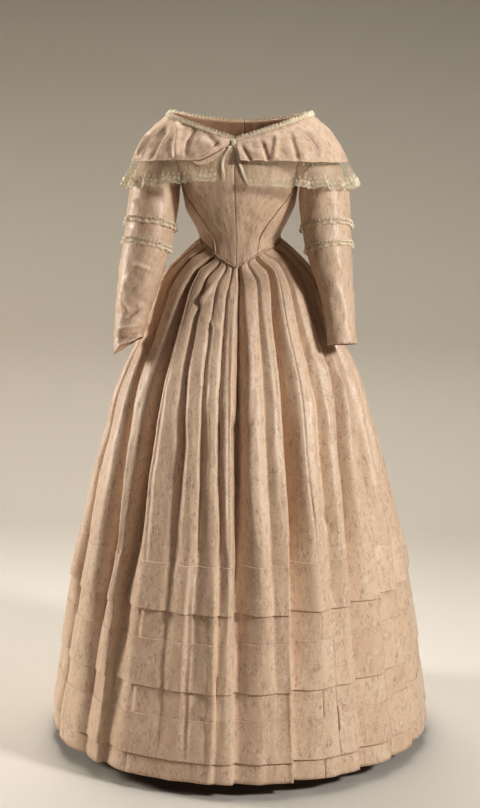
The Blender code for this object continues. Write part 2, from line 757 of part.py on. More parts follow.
def add_wall(
    name: str,
    grid: Sequence[Sequence[np.ndarray]],
    finish: Finish,
    wall: float,
    closed: bool = False,
    outward: bool = False,
    flip: bool = False,
) -> bpy.types.Object:
    """Loft rows of points, lowest first, and turn the open surface into a wall."""
    rows = len(grid)
    columns = len(grid[0])
    points = [tuple(point) for row in grid for point in row]
    faces = []
    for row in range(rows - 1):
        for column in range(columns if closed else columns - 1):
            after = (column + 1) % columns
            face = [row * columns + column, row * columns + after]
            face += [(row + 1) * columns + after, (row + 1) * columns + column]
            faces.append(face[::-1] if flip else face)
    mesh = bpy.data.meshes.new(name)
    mesh.from_pydata(points, [], faces)
    mesh.update()
    made = add_object(name, mesh, finish)
    solid = made.modifiers.new("wall", "SOLIDIFY")
    solid.thickness = wall
    solid.offset = 1.0 if outward else -1.0
    solid.use_even_offset = True
    solid.use_quality_normals = True
    solid.use_rim = True
    return made


def add_tube(name: str, path: Sequence[np.ndarray], radius: float, finish: Finish, closed: bool) -> bpy.types.Object:
    """A covered cord along a path."""
    curve = bpy.data.curves.new(name, "CURVE")
    curve.dimensions = "3D"
    curve.bevel_depth = radius
    curve.bevel_resolution = 1
    curve.use_fill_caps = not closed
    spline = curve.splines.new("POLY")
    spline.points.add(len(path) - 1)
    for point, place in zip(spline.points, path):
        point.co = (*place, 1.0)
    spline.use_cyclic_u = closed
    return add_object(name, curve, finish)


SIDES: tuple[tuple[str, int], ...] = (("right", -1), ("left", 1))


def seam_cord(side: int, lift: float) -> list[np.ndarray]:
    """The route of the covered cord on a curved front seam, from the points of the piece it lies on."""
    route = []
    for level in LOWER_BODICE:
        angle = seam_angle(level, False)
        drop = waist_height(angle) * max(0.0, 1.0 - level / 0.06)
        route.append(body_point(side * angle, level + drop, lift))
    route[0] = blend(route[0], route[1], 0.3)
    return route


def waist_cord(lift: float) -> list[np.ndarray]:
    """The route of the covered cord round the waist, from the points of the bodice's lower edge."""
    front = seam_angle(0.0, False)
    back = seam_angle(0.0, True)
    half = list(np.linspace(0.0, front, FRONT_COLUMNS + 1))
    half += list(np.linspace(front, SIDE_SEAM, SIDE_COLUMNS + 1))[1:]
    half += list(np.linspace(SIDE_SEAM, back, SIDE_COLUMNS + 1))[1:]
    half += list(np.linspace(back, 180.0, BACK_COLUMNS + 1))[1:]
    angles = half + [-angle for angle in reversed(half[1:-1])]
    return [body_point(angle, waist_height(angle) + lift, lift + 0.0008) for angle in angles]


def build_bodice() -> None:
    """The eight fitted pieces, the shoulder straps and the covered cords."""
    lift = PIPING_RADIUS + LAYER_GAP
    for name, side in SIDES:
        mirrored = side < 0
        front = main_bodice_grid(side, False, FRONT_COLUMNS)
        side_front = side_bodice_grid(side, False, SIDE_COLUMNS)
        side_back = side_bodice_grid(side, True, SIDE_COLUMNS)
        back = main_bodice_grid(side, True, BACK_COLUMNS)
        add_wall(f"bodice_front_{name}", front, SILK, SILK_WALL, flip=mirrored)
        add_wall(f"bodice_side_front_{name}", side_front, SILK, SILK_WALL, flip=mirrored)
        add_wall(f"bodice_side_back_{name}", side_back, SILK, SILK_WALL, flip=not mirrored)
        add_wall(f"bodice_back_{name}", back, SILK, SILK_WALL, flip=not mirrored)
        add_wall(f"shoulder_strap_{name}", strap_grid(side, 6), SILK, SILK_WALL, flip=mirrored)
        add_tube(f"seam_piping_{name}", seam_cord(side, lift), PIPING_RADIUS, SILK, False)
    add_tube("waist_piping", waist_cord(lift), PIPING_RADIUS, SILK, True)


def build_bertha() -> None:
    """The silk collar, the turned end, the net flounce and the lace at the neck."""
    for name, side in SIDES:
        mirrored = side < 0
        add_wall(f"bertha_{name}", bertha_grid(side), SILK, SILK_WALL, flip=mirrored)
        add_wall(f"bertha_lace_{name}", flounce_grid(side), LACE, LACE_WALL, flip=mirrored)
        add_wall(f"neck_lace_{name}", neck_lace_grid(side), LACE, LACE_WALL, outward=True, flip=mirrored)
    add_wall("bertha_fold_right", turned_end_grid(), SILK, SILK_WALL, outward=True, flip=True)


def build_bow() -> None:
    """The ribbon's knot and its two hanging tails."""
    knot = np.array((-0.003, -NECK_FRONT_DEPTH - 0.0099, NECK_FRONT_HEIGHT - 0.006))
    bpy.ops.mesh.primitive_uv_sphere_add(segments=10, ring_count=6, radius=0.006, location=knot)
    made = bpy.context.active_object
    made.name = "bow_knot"
    made.scale = (1.0, 0.55, 0.9)
    for collection in list(made.users_collection):
        collection.objects.unlink(made)
    bpy.data.collections["evening_dress"].objects.link(made)
    made.data.materials.append(material(RIBBON))
    tails = {
        "right": ((-4.4, 0.1975), (-6.4, 0.187), (-8.2, 0.174), (-9.4, 0.160), (-9.5, 0.145), (-9.6, 0.131)),
        "left": ((1.2, 0.1975), (2.2, 0.187), (3.6, 0.173), (5.6, 0.158), (9.2, 0.140), (12.8, 0.122)),
    }
    for name, route in tails.items():
        rows = []
        for angle, height in reversed(route):
            middle = body_point(angle, height, LAYER_GAP * 2.0)
            turn = math.radians(angle)
            across = np.array((math.cos(turn), math.sin(turn), 0.0)) * RIBBON_WIDTH / 2
            rows.append([middle - across, middle + across])
        add_wall(f"bow_tail_{name}", rows, RIBBON, LACE_WALL, outward=True)


def build_sleeves() -> None:
    """The long sleeves with their tiers and frills."""
    tiers = (("upper", TIER_UPPER_ROWS, TIER_UPPER_LIFT), ("lower", TIER_LOWER_ROWS, TIER_LOWER_LIFT))
    for name, side in SIDES:
        add_wall(f"sleeve_{name}", sleeve_grid(side), SILK, SILK_WALL, closed=True)
        for place, heights, lift in tiers:
            tier = tier_grid(side, heights, lift)
            lace = sleeve_lace_grid(side, heights[0], lift + SILK_WALL + LAYER_GAP)
            add_wall(f"sleeve_tier_{place}_{name}", tier, SILK, SILK_WALL, closed=True, outward=True)
            add_wall(f"sleeve_lace_{place}_{name}", lace, LACE, LACE_WALL, closed=True, outward=True)


def build_skirt() -> None:
    """The six widths of the skirt and the three tucks."""
    rings = [skirt_ring(level) for level in reversed(SKIRT_ROWS)]
    count = len(SKIRT_SEAM_PLEATS)
    for index, first in enumerate(SKIRT_SEAM_PLEATS):
        last = SKIRT_SEAM_PLEATS[(index + 1) % count] + (len(VALLEYS) if index + 1 == count else 0)
        add_wall(f"skirt_width_{index + 1}", skirt_panel_grid(rings, first, last), SILK, SILK_WALL)
    for index, line in enumerate(TUCK_LINES):
        add_wall(f"skirt_tuck_{index + 1}", tuck_grid(line), SILK, SILK_WALL, closed=True, outward=True)


def clear_scene() -> None:
    """Remove whatever the scene holds."""
    for old in list(bpy.data.objects):
        bpy.data.objects.remove(old, do_unlink=True)


def main() -> None:
    """Build the dress."""
    clear_scene()
    dress = bpy.data.collections.new("evening_dress")
    bpy.context.scene.collection.children.link(dress)
    build_bodice()
    build_bertha()
    build_bow()
    build_sleeves()
    build_skirt()


if __name__ == "__main__":
    main()
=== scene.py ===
"""The look of an 1840s evening dress in figured silk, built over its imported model.

Metres, +Z up. The origin is the centre of the wearer's waist, the front faces -Y and the wearer's left
is +X. Angles run round the body in degrees: 0 is the centre front and 90 the wearer's left side. Round an
arm, 0 is its outer side and 90 its back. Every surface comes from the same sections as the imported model,
read more finely, with the cloth's creases, sewing and lace added.
"""

import logging
import math
from abc import ABC, abstractmethod
from dataclasses import dataclass
from typing import Callable, NamedTuple, Sequence

import bpy
import numpy as np
from mathutils import Matrix, Vector


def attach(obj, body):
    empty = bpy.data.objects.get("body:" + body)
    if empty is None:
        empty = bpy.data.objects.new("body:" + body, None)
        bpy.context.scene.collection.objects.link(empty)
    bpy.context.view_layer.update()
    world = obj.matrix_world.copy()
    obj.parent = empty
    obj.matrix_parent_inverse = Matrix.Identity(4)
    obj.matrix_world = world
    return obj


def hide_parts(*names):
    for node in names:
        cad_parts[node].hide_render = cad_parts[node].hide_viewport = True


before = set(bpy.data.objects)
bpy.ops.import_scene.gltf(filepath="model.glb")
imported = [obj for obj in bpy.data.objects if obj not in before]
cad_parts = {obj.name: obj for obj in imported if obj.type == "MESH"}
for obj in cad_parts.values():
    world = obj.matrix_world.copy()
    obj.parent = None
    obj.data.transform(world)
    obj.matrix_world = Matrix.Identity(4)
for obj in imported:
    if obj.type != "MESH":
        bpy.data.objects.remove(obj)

Socket = bpy.types.NodeSocket

LOG = logging.getLogger("dress")

SILK_SLOT = "figured_silk"
LACE_SLOT = "ecru_lace"
RIBBON_SLOT = "cream_ribbon"
SIDES = (("right", -1), ("left", 1))

SILK_WALL = 0.0007
WAIST_POINT_DROP = 0.048
WAIST_BACK_RISE = 0.008
NECK = (0.142, 0.087, 0.084)
NECK_HEIGHTS = (0.213, 0.260, 0.238)
NECK_INSET = 0.0022
ARMHOLE_CENTRE = (0.1495, 0.1745)
ARMHOLE_LEAN = 0.0275
ARMHOLE_SADDLE = 0.022
ARMHOLE_HALF = (0.0605, 0.0485)
STRAP_NECK = (52.0, 128.0)
BERTHA = (0.221, 0.124, 0.118)
BERTHA_HEIGHTS = (0.163, 0.173, 0.166)
FLOUNCE = (0.238, 0.131, 0.125)
FLOUNCE_HEIGHTS = (0.118, 0.130)
FLOUNCE_WAVES = 13
FLOUNCE_STARTS = {1: 3.6, -1: 4.5}
SLEEVE_BLEND = 0.100
TIERS = {"upper": (0.150, 0.037, 0.0034), "lower": (0.050, -0.004, 0.0016)}
CUFFS = {-1: (0.002, 0.021), 1: (-0.008, 0.0)}
HEM = -1.030
WAIST_REACH = 0.12
TUCKS = ((-0.606, -0.699), (-0.755, -0.851), (-0.906, -0.989))
SEAM_PLEATS = (3, 9, 13, 17, 23, 28)
SIDE_SEAM = 94.0
HEM_FACING = -0.992
BODICE_REACH = 0.06
PIECE_FILL = 0.55

PLEAT_COLUMNS = 16
ROW_STEP = 5

# Tables: height, half width, front, back
BODY = (
    (-0.060, 0.0860, 0.0825, 0.0780),
    (0.000, 0.0805, 0.0740, 0.0700),
    (0.031, 0.0930, 0.0830, 0.0760),
    (0.064, 0.1100, 0.0960, 0.0850),
    (0.100, 0.1180, 0.1080, 0.0920),
    (0.135, 0.1230, 0.1130, 0.0960),
    (0.170, 0.1430, 0.1090, 0.0980),
    (0.205, 0.1600, 0.0960, 0.0940),
)
SKIRT = (
    (0.000, 0.0815, 0.0750, 0.0715),
    (-0.031, 0.1190, 0.0780, 0.1160),
    (-0.062, 0.1500, 0.0940, 0.1500),
    (-0.094, 0.1690, 0.1220, 0.1700),
    (-0.125, 0.1790, 0.1420, 0.1860),
    (-0.188, 0.2030, 0.1760, 0.2140),
    (-0.252, 0.2350, 0.2120, 0.2460),
    (-0.316, 0.2610, 0.2440, 0.2700),
    (-0.380, 0.2790, 0.2660, 0.2880),
    (-0.510, 0.3160, 0.3060, 0.3200),
    (-0.609, 0.3400, 0.3320, 0.3440),
    (-0.708, 0.3600, 0.3540, 0.3620),
    (-0.850, 0.3800, 0.3780, 0.3840),
    (-1.030, 0.4050, 0.4030, 0.4080),
)
# Height, outward, forward, half width of the right and the left arm, half depth
SLEEVE = (
    (0.140, 0.1720, 0.002, 0.0490, 0.0490, 0.0585),
    (0.100, 0.1742, 0.015, 0.0495, 0.0495, 0.0570),
    (0.055, 0.1785, 0.030, 0.0487, 0.0482, 0.0550),
    (0.010, 0.1840, 0.044, 0.0480, 0.0465, 0.0530),
    (-0.030, 0.1910, 0.055, 0.0475, 0.0435, 0.0500),
    (-0.065, 0.1985, 0.064, 0.0450, 0.0385, 0.0470),
    (-0.115, 0.2080, 0.078, 0.0400, 0.0330, 0.0410),
    (-0.160, 0.2150, 0.095, 0.0330, 0.0305, 0.0360),
    (-0.203, 0.2205, 0.112, 0.0265, 0.0300, 0.0320),
)
# Height, front and back angle of the curved seams
CURVED_SEAMS = (
    (-0.044, 24.0, 162.0),
    (0.000, 31.0, 160.0),
    (0.031, 37.0, 156.0),
    (0.064, 48.0, 150.0),
    (0.100, 66.0, 138.0),
    (0.124, 75.0, 112.0),
)
# A valley's angle at five heights, its depth above and below, the width of the flank on its left side and how
# suddenly the panel on its right side rolls into it
VALLEY_HEIGHTS = (-0.010, -0.180, -0.430, -0.680, -0.930)
FRONT_VALLEYS = (
    (-88, -96, -90, -86, -86, 1.0, 1.0, 0.030, 5.0),
    (-70, -78, -72, -68, -68, 0.8, 1.0, 0.028, 6.0),
    (-54, -60, -52, -48, -48, 1.0, 1.2, 0.030, 7.0),
    (-34, -42, -38.5, -38, -38.5, 1.35, 1.35, 0.034, 8.0),
    (-22, -25, -19, -18.5, -18.5, 0.6, 0.45, 0.018, 4.0),
    (-13, -14, -10, -9, -9, 0.35, 0.35, 0.020, 3.0),
    (-5, -5, -2.5, -1, -1.5, 0.4, 0.35, 0.012, 4.0),
    (3, 3.2, 3.6, 4, 4.4, 1.2, 1.3, 0.030, 6.0),
    (16, 17, 16.5, 16.5, 16.5, 0.35, 0.25, 0.018, 3.0),
    (29, 26.5, 25.5, 22.5, 21.5, 1.5, 1.5, 0.034, 9.0),
    (42, 44.6, 41, 37, 36, 0.5, 0.4, 0.018, 4.0),
    (58, 60, 50.5, 45, 43.5, 1.4, 1.4, 0.032, 8.0),
    (74, 76, 67, 60, 57, 0.8, 0.8, 0.028, 6.0),
    (88, 88, 78, 72, 70, 0.9, 1.0, 0.028, 6.0),
    (104, 100, 92, 88, 88, 0.9, 0.9, 0.026, 5.0),
)
BACK_GATHERS = 14
PLEAT_DEPTHS = (
    (0.000, 0.0040),
    (-0.030, 0.0090),
    (-0.094, 0.0180),
    (-0.180, 0.0290),
    (-0.320, 0.0390),
    (-0.450, 0.0460),
    (-0.606, 0.0340),
    (-0.700, 0.0250),
    (-0.850, 0.0145),
    (-1.030, 0.0095),
)
# Angle, half width and rise of the bertha's soft folds
BERTHA_FOLDS = (
    (-72.0, 7.0, 0.0035),
    (-60.0, 6.0, -0.0045),
    (-48.0, 7.0, 0.0035),
    (-30.0, 8.0, -0.0025),
    (24.0, 6.0, -0.0030),
    (36.0, 7.0, 0.0030),
    (52.0, 8.0, -0.0025),
    (74.0, 9.0, 0.0025),
    (112.0, 10.0, -0.0025),
    (140.0, 12.0, 0.0030),
    (-112.0, 10.0, -0.0025),
    (-140.0, 12.0, 0.0030),
)
SKIRT_LEVELS = (
    0.0, -0.008, -0.020, -0.035, -0.050, -0.070, -0.094, -0.120, -0.150, -0.185, -0.220, -0.270, -0.320,
    -0.385, -0.450, -0.530, -0.606, -0.650, -0.699, -0.727, -0.755, -0.803, -0.851, -0.878, -0.906, -0.947,
    -0.989, HEM,
)


CURVES: dict[tuple[int, int], tuple] = {}


def hermite(t: float | np.ndarray) -> tuple:
    """The weights of a smooth curve's two values and two slopes, a share t between them."""
    return 2 * t**3 - 3 * t**2 + 1, 3 * t**2 - 2 * t**3, t**3 - 2 * t**2 + t, t**3 - t**2


def smooth_value(table: Sequence[Sequence[float]], at: float, column: int = 1) -> float:
    """Read a column of a table as a smooth curve that never overshoots its rows.

    Args:
        table: Rows whose first number is the place.
        at: The place to read.
        column: Which number of the rows to read.

    Returns:
        The value at that place, held at the table's ends.
    """
    key = (id(table), column)
    known = CURVES.get(key)
    if known is None:
        rows = sorted(table)
        places = np.array([row[0] for row in rows], float)
        values = np.array([row[column] for row in rows], float)
        steps = np.diff(values) / np.diff(places)
        slopes = np.zeros(len(places))
        same_way = steps[:-1] * steps[1:] > 0.0
        means = 2.0 * steps[:-1] * steps[1:] / np.where(same_way, steps[:-1] + steps[1:], 1.0)
        slopes[1:-1] = np.where(same_way, means, 0.0)
        slopes[0], slopes[-1] = steps[0], steps[-1]
        known = (places.tolist(), values.tolist(), slopes.tolist(), table)
        CURVES[key] = known
    places, values, slopes, _ = known
    place = min(max(at, places[0]), places[-1])
    index = 0
    while index < len(places) - 2 and places[index + 1] < place:
        index += 1
    span = places[index + 1] - places[index]
    first, last, leave, arrive = hermite((place - places[index]) / span)
    rise = first * values[index] + last * values[index + 1]
    return rise + (leave * slopes[index] + arrive * slopes[index + 1]) * span


def ease(share: float) -> float:
    """A share from 0 to 1 with soft ends."""
    held = min(max(share, 0.0), 1.0)
    return held * held * (3.0 - 2.0 * held)


def blend(first: np.ndarray, second: np.ndarray, share: float) -> np.ndarray:
    """The point a share of the way from one point to another."""
    return first * (1.0 - share) + second * share


def plan_point(
    half_width: float, front: float, back: float, height: float, angle: float, out: float = 0.0
) -> np.ndarray:
    """A point round a section at an angle, moved out from the axis."""
    turn = math.radians(angle)
    reach = front if math.cos(turn) > 0.0 else back
    return np.array(((half_width + out) * math.sin(turn), -(reach + out) * math.cos(turn), height))


def table_point(
    table: Sequence[Sequence[float]], angle: float, height: float, out: float = 0.0
) -> np.ndarray:
    """A point of the body's or the skirt's outline."""
    width, front, back = (smooth_value(table, height, column) for column in (1, 2, 3))
    return plan_point(width, front, back, height, angle, out)


def waist_height(angle: float) -> float:
    """The height of the waist seam, which dips to a point in front and rises a little behind."""
    held = abs((angle + 180.0) % 360.0 - 180.0)
    dip = WAIST_POINT_DROP * (1.0 - math.sin(math.radians(held))) if held < 90.0 else 0.0
    return WAIST_BACK_RISE * ease((held - 62.0) / 50.0) - dip


def waist_drop(angle: float, level: float) -> float:
    """How far a level of the bodice follows the waist seam at an angle."""
    return waist_height(angle) * max(0.0, 1.0 - level / BODICE_REACH)


def skirt_height(angle: float, level: float) -> float:
    """The height of a level of the skirt, which follows the waist seam near its top."""
    return level + waist_height(angle) * max(0.0, 1.0 + level / WAIST_REACH)


def body_point(angle: float, height: float, out: float = 0.0) -> np.ndarray:
    """A point on the bodice's outer surface."""
    return table_point(BODY, angle, height, out)


def neck_point(angle: float, out: float = 0.0, up: float = 0.0) -> np.ndarray:
    """A point on the neck edge, which runs low across both shoulders."""
    turn = math.radians(angle)
    side = abs(math.sin(turn))
    front, top, back = NECK_HEIGHTS
    height = front + (top - front) * side if math.cos(turn) > 0.0 else back + (top - back) * side * side
    return plan_point(*NECK, height + up, angle, out)


def armhole_point(side: int, angle: float, out: float = 0.0) -> np.ndarray:
    """A point on the armhole seam, at an angle round the arm."""
    turn = math.radians(angle)
    x = ARMHOLE_CENTRE[0] + ARMHOLE_LEAN * math.cos(turn) - ARMHOLE_SADDLE * math.sin(turn) ** 2
    y = ARMHOLE_HALF[0] * math.sin(turn)
    z = ARMHOLE_CENTRE[1] + ARMHOLE_HALF[1] * math.cos(turn)
    return np.array((side * (x + out), y, z))


def armhole_angle(height: float) -> float:
    """The angle round the arm, 0 to 180, where the armhole seam stands at a height."""
    share = (height - ARMHOLE_CENTRE[1]) / ARMHOLE_HALF[1]
    return math.degrees(math.acos(min(max(share, -1.0), 1.0)))


def box_power(value: float, power: float) -> float:
    """A sine or cosine raised to a power with its sign kept, for a squarer plan."""
    return math.copysign(abs(value) ** power, value)


def pushed(point: np.ndarray, turn: float, out: float) -> np.ndarray:
    """A point moved out from the body's axis, at a turn in radians."""
    return point + np.array((out * math.sin(turn), -out * math.cos(turn), 0.0))


def collar_point(angle: float, size: Sequence[float], height: float) -> np.ndarray:
    """A point on a collar's lower edge, whose plan goes round both arms."""
    turn = math.radians(angle)
    reach = size[1] if math.cos(turn) > 0.0 else size[2]
    across, ahead = box_power(math.sin(turn), 0.75), box_power(math.cos(turn), 0.9)
    return np.array((size[0] * across, -reach * ahead, height))


def bertha_edge(angle: float) -> np.ndarray:
    """A point on the bertha's lower edge, whose right front climbs to the bow."""
    turn = math.radians(angle)
    side, front, back = BERTHA_HEIGHTS
    ends = front if math.cos(turn) > 0.0 else back
    point = collar_point(angle, BERTHA, side + (ends - side) * math.cos(turn) ** 2)
    if -13.0 < angle < 0.0:
        point = blend(point, neck_point(angle, 0.004, -0.006), ease(1.0 + angle / 13.0))
    return point


def bertha_point(angle: float, share: float, out: float = 0.0) -> np.ndarray:
    """A point on the bertha, from its neck edge (0) to its lower edge (1)."""
    turn = math.radians(angle)
    point = blend(neck_point(angle), bertha_edge(angle), share)
    rise = sum(fold[2] * math.exp(-(((angle - fold[0]) / fold[1]) ** 2)) for fold in BERTHA_FOLDS)
    side = math.sin(turn) ** 2
    bulge = 4.0 * share * (1.0 - share)
    lift = rise * share + out + (0.003 + 0.006 * side) * bulge
    point[2] += (0.002 + 0.005 * side) * bulge
    return pushed(point, turn, lift)


def flounce_point(angle: float, share: float, out: float = 0.0) -> np.ndarray:
    """A point on the net flounce, from the bertha's lower edge (0) to its own (1)."""
    turn = math.radians(angle)
    side, front = FLOUNCE_HEIGHTS
    ends = front if math.cos(turn) > 0.0 else side
    height = side + (ends - side) * math.cos(turn) ** 2
    phase = math.cos(turn * FLOUNCE_WAVES * 2.0 + 0.9 * math.sin(turn * 5.0))
    phase += 0.35 * math.cos(turn * FLOUNCE_WAVES * 4.3 + 1.2 * math.sin(turn * 3.0))
    phase *= 0.30 + 0.70 * math.sin(turn) ** 2
    if -45.0 < angle < 0.0:
        height += 0.010 * ease(1.0 + angle / 45.0)
    low = collar_point(angle, FLOUNCE, height)
    low[2] += 0.0045 * phase
    top = bertha_point(angle, 1.0)
    top[2] -= 0.0006
    return pushed(blend(top, low, share), turn, 0.0058 * phase * share + out)


def sleeve_point(side: int, height: float, angle: float, out: float = 0.0) -> np.ndarray:
    """A point on the sleeve's outer surface, up to the armhole seam."""

    def centre(level: float) -> np.ndarray:
        return np.array((side * smooth_value(SLEEVE, level, 1), -smooth_value(SLEEVE, level, 2), level))

    held = min(height, SLEEVE_BLEND)
    along = centre(held + 0.006) - centre(held - 0.006)
    along /= np.linalg.norm(along)
    across = np.array((float(side), 0.0, 0.0))
    across -= along * np.dot(across, along)
    across /= np.linalg.norm(across)
    depth = np.array((0.0, 1.0, 0.0))
    depth -= along * np.dot(depth, along)
    depth /= np.linalg.norm(depth)
    half_width = smooth_value(SLEEVE, held, 4 if side > 0 else 3)
    half_depth = smooth_value(SLEEVE, held, 5)
    turn = math.radians(angle)
    point = centre(held) + across * (half_width + out) * math.cos(turn)
    point = point + depth * (half_depth + out) * math.sin(turn)
    if height > SLEEVE_BLEND:
        share = (height - SLEEVE_BLEND) / (ARMHOLE_CENTRE[1] - SLEEVE_BLEND)
        seam = armhole_point(side, angle, 0.0018)
        heart = armhole_point(side, 90.0) * np.array((1.0, 0.0, 1.0))
        away = (seam - heart) / np.linalg.norm(seam - heart)
        point = blend(point, seam + away * out, share)
    return point


def all_valleys() -> list[tuple[float, ...]]:
    """The front's pleat valleys, then the gathers that close the ring at the back."""
    last, first = FRONT_VALLEYS[-1], FRONT_VALLEYS[0]
    valleys = [tuple(float(value) for value in row) for row in FRONT_VALLEYS]
    for index in range(1, BACK_GATHERS + 1):
        share = index / (BACK_GATHERS + 1)
        angles = [last[place] + (first[place] + 360.0 - last[place]) * share for place in range(5)]
        depths = (0.85 + 0.15 * math.cos(index * 2.1), 0.85 + 0.2 * math.sin(index * 1.7))
        valleys.append((*angles, *depths, 0.022 + 0.008 * math.sin(index * 2.6), 2.6 + math.sin(index * 1.3)))
    return valleys


VALLEYS = all_valleys()
VALLEY_TABLES = [tuple(zip(VALLEY_HEIGHTS, valley[:5])) for valley in VALLEYS]


def valley_angle(index: int, height: float) -> float:
    """The angle of a valley at a height; the index may run past the last pleat."""
    turns, place = divmod(index, len(VALLEYS))
    return smooth_value(VALLEY_TABLES[place], height) + 360.0 * turns


def valley_depth(index: int, height: float) -> float:
    """The depth of a valley at a height."""
    valley = VALLEYS[index % len(VALLEYS)]
    share = ease((-0.20 - height) / 0.38)
    return smooth_value(PLEAT_DEPTHS, height) * (valley[5] * (1.0 - share) + valley[6] * share)


def skirt_surface(angle: float, height: float, inward: float) -> np.ndarray:
    """A point of the skirt at an angle, sunk in from its outline."""
    top = waist_height(angle)
    reach = 0.006 + 0.05 * max(0.0, -top / WAIST_POINT_DROP)
    raised = max(0.0, top) * max(0.0, 1.0 + height / WAIST_REACH)
    outline = table_point(SKIRT, angle, height - raised, -inward)
    outline[2] = height
    return blend(table_point(BODY, angle, height, -inward), outline, ease((top - height) / reach))


def flank_share(pleat: int, height: float) -> float:
    """How much of a pleat's width its flank takes, from the valley up to the crest."""
    span = math.radians(valley_angle(pleat + 1, height) - valley_angle(pleat, height))
    growth = 0.30 + 0.70 * ease(-height / 0.30) + 0.75 * ease((-0.42 - height) / 0.25)
    width = VALLEYS[pleat % len(VALLEYS)][7] * growth
    return min(max(width / (span * smooth_value(SKIRT, height)), 0.10), 0.70)


def skirt_point(pleat: int, t: float, level: float) -> np.ndarray:
    """A point of the skirt, a level below the waist seam.

    Args:
        pleat: Which pleat.
        t: 0 in its valley, 1 on its crest and 2 in the next valley.
        level: The height, measured from the seam near the waist.

    Returns:
        The point.
    """
    middle = 0.5 * (valley_angle(pleat, level) + valley_angle(pleat + 1, level))
    height = skirt_height(middle, level)
    start, end = valley_angle(pleat, height), valley_angle(pleat + 1, height)
    crest = flank_share(pleat, height)
    low = ease(-height / 0.4)
    if t < 1.0:
        angle = start + (end - start) * crest * t
        depth = valley_depth(pleat, height) * (1.0 - t) ** 1.2
    else:
        angle = start + (end - start) * (crest + (1.0 - crest) * (t - 1.0))
        roll = VALLEYS[(pleat + 1) % len(VALLEYS)][8] * (1.6 - 0.6 * low)
        depth = valley_depth(pleat + 1, height) * (t - 1.0) ** roll
        depth += 0.0024 * low * math.sin(math.pi * (t - 1.0)) * math.sin(pleat * 1.9 + height * 5.0)
    return skirt_surface(angle, skirt_height(angle, level), depth)


def resample(points: np.ndarray, axis: int, count: int, closed: bool = False) -> np.ndarray:
    """Read a grid of points more finely along one axis, as a smooth curve through its points.

    Args:
        points: Rows by columns by three.
        axis: 0 to add rows and 1 to add columns.
        count: How many points there are along it afterwards.
        closed: Whether that axis closes on itself.

    Returns:
        The finer grid, evenly spaced by the mean distance along the axis.
    """
    work = np.moveaxis(points, axis, 0)
    if closed:
        work = np.concatenate([work[-2:], work, work[:3]])
    steps = np.linalg.norm(np.diff(work, axis=0), axis=-1).reshape(len(work) - 1, -1).mean(1)
    places = np.concatenate([[0.0], np.cumsum(np.maximum(steps, 1e-9))])
    slopes = np.empty_like(work)
    parts = np.diff(work, axis=0) / np.diff(places)[:, None, None]
    before, after = np.diff(places)[:-1, None, None], np.diff(places)[1:, None, None]
    slopes[1:-1] = (parts[1:] * before + parts[:-1] * after) / (before + after)
    slopes[0], slopes[-1] = parts[0], parts[-1]
    if closed:
        fresh = np.linspace(places[2], places[-3], count + 1)[:-1]
    else:
        fresh = np.linspace(places[0], places[-1], count)
    index = np.clip(np.searchsorted(places, fresh, side="right") - 1, 0, len(places) - 2)
    span = (places[index + 1] - places[index])[:, None, None]
    first, last, leave, arrive = hermite((fresh - places[index])[:, None, None] / span)
    made = first * work[index] + last * work[index + 1]
    made += (leave * slopes[index] + arrive * slopes[index + 1]) * span
    return np.moveaxis(made, 0, axis)


def length_of(route: np.ndarray) -> float:
    """The length of a route through points."""
    return float(np.linalg.norm(np.diff(route, axis=0), axis=1).sum())


def normals_of(points: np.ndarray, closed: bool, outward: np.ndarray) -> np.ndarray:
    """The unit normals of a grid, all on the side that the outward directions point to."""
    if closed:
        across = np.roll(points, -1, 1) - np.roll(points, 1, 1)
    else:
        across = np.gradient(points, axis=1)
    normals = np.cross(across, np.gradient(points, axis=0))
    normals /= np.linalg.norm(normals, axis=-1, keepdims=True) + 1e-12
    sign = 1.0 if float((normals * outward).sum(-1).mean()) > 0.0 else -1.0
    return normals * sign


def ripples(
    points: np.ndarray, wave: tuple[float, float, float], seed: int, crisp: bool = False
) -> np.ndarray:
    """An uneven, repeatable swell over points, about -1 to 1.

    Args:
        points: Where to read it.
        wave: The usual wavelength along X, Y and Z, in metres.
        seed: Which swell.
        crisp: Flat facets with sharp creases between them, in place of soft waves.

    Returns:
        One number a point.
    """
    chance = np.random.default_rng(seed)
    total = np.zeros(points.shape[:-1])
    parts = 5 if crisp else 9
    for _ in range(parts):
        way = chance.normal(size=3)
        way /= np.linalg.norm(way)
        pace = 2.0 * math.pi * (0.6 + 0.9 * chance.random())
        part = np.sin((points / np.array(wave)) @ way * pace + chance.random() * 6.283)
        total += np.arcsin(part * 0.995) * (2.0 / math.pi) if crisp else part
    return total / math.sqrt(parts) * 0.7


class Crease(NamedTuple):
    """A listed crease: its route seen from the front, its width and how far it stands out."""

    route: tuple[tuple[float, float], ...]
    width: float
    rise: float


def creases_of(*rows: Sequence[float]) -> tuple[Crease, ...]:
    """Creases from rows in millimetres: the width, the rise, then X and Z of each point of the route."""
    made = []
    for width, rise, *route in rows:
        places = tuple((x / 1000.0, z / 1000.0) for x, z in zip(route[::2], route[1::2]))
        made.append(Crease(places, width / 1000.0, rise / 1000.0))
    return tuple(made)


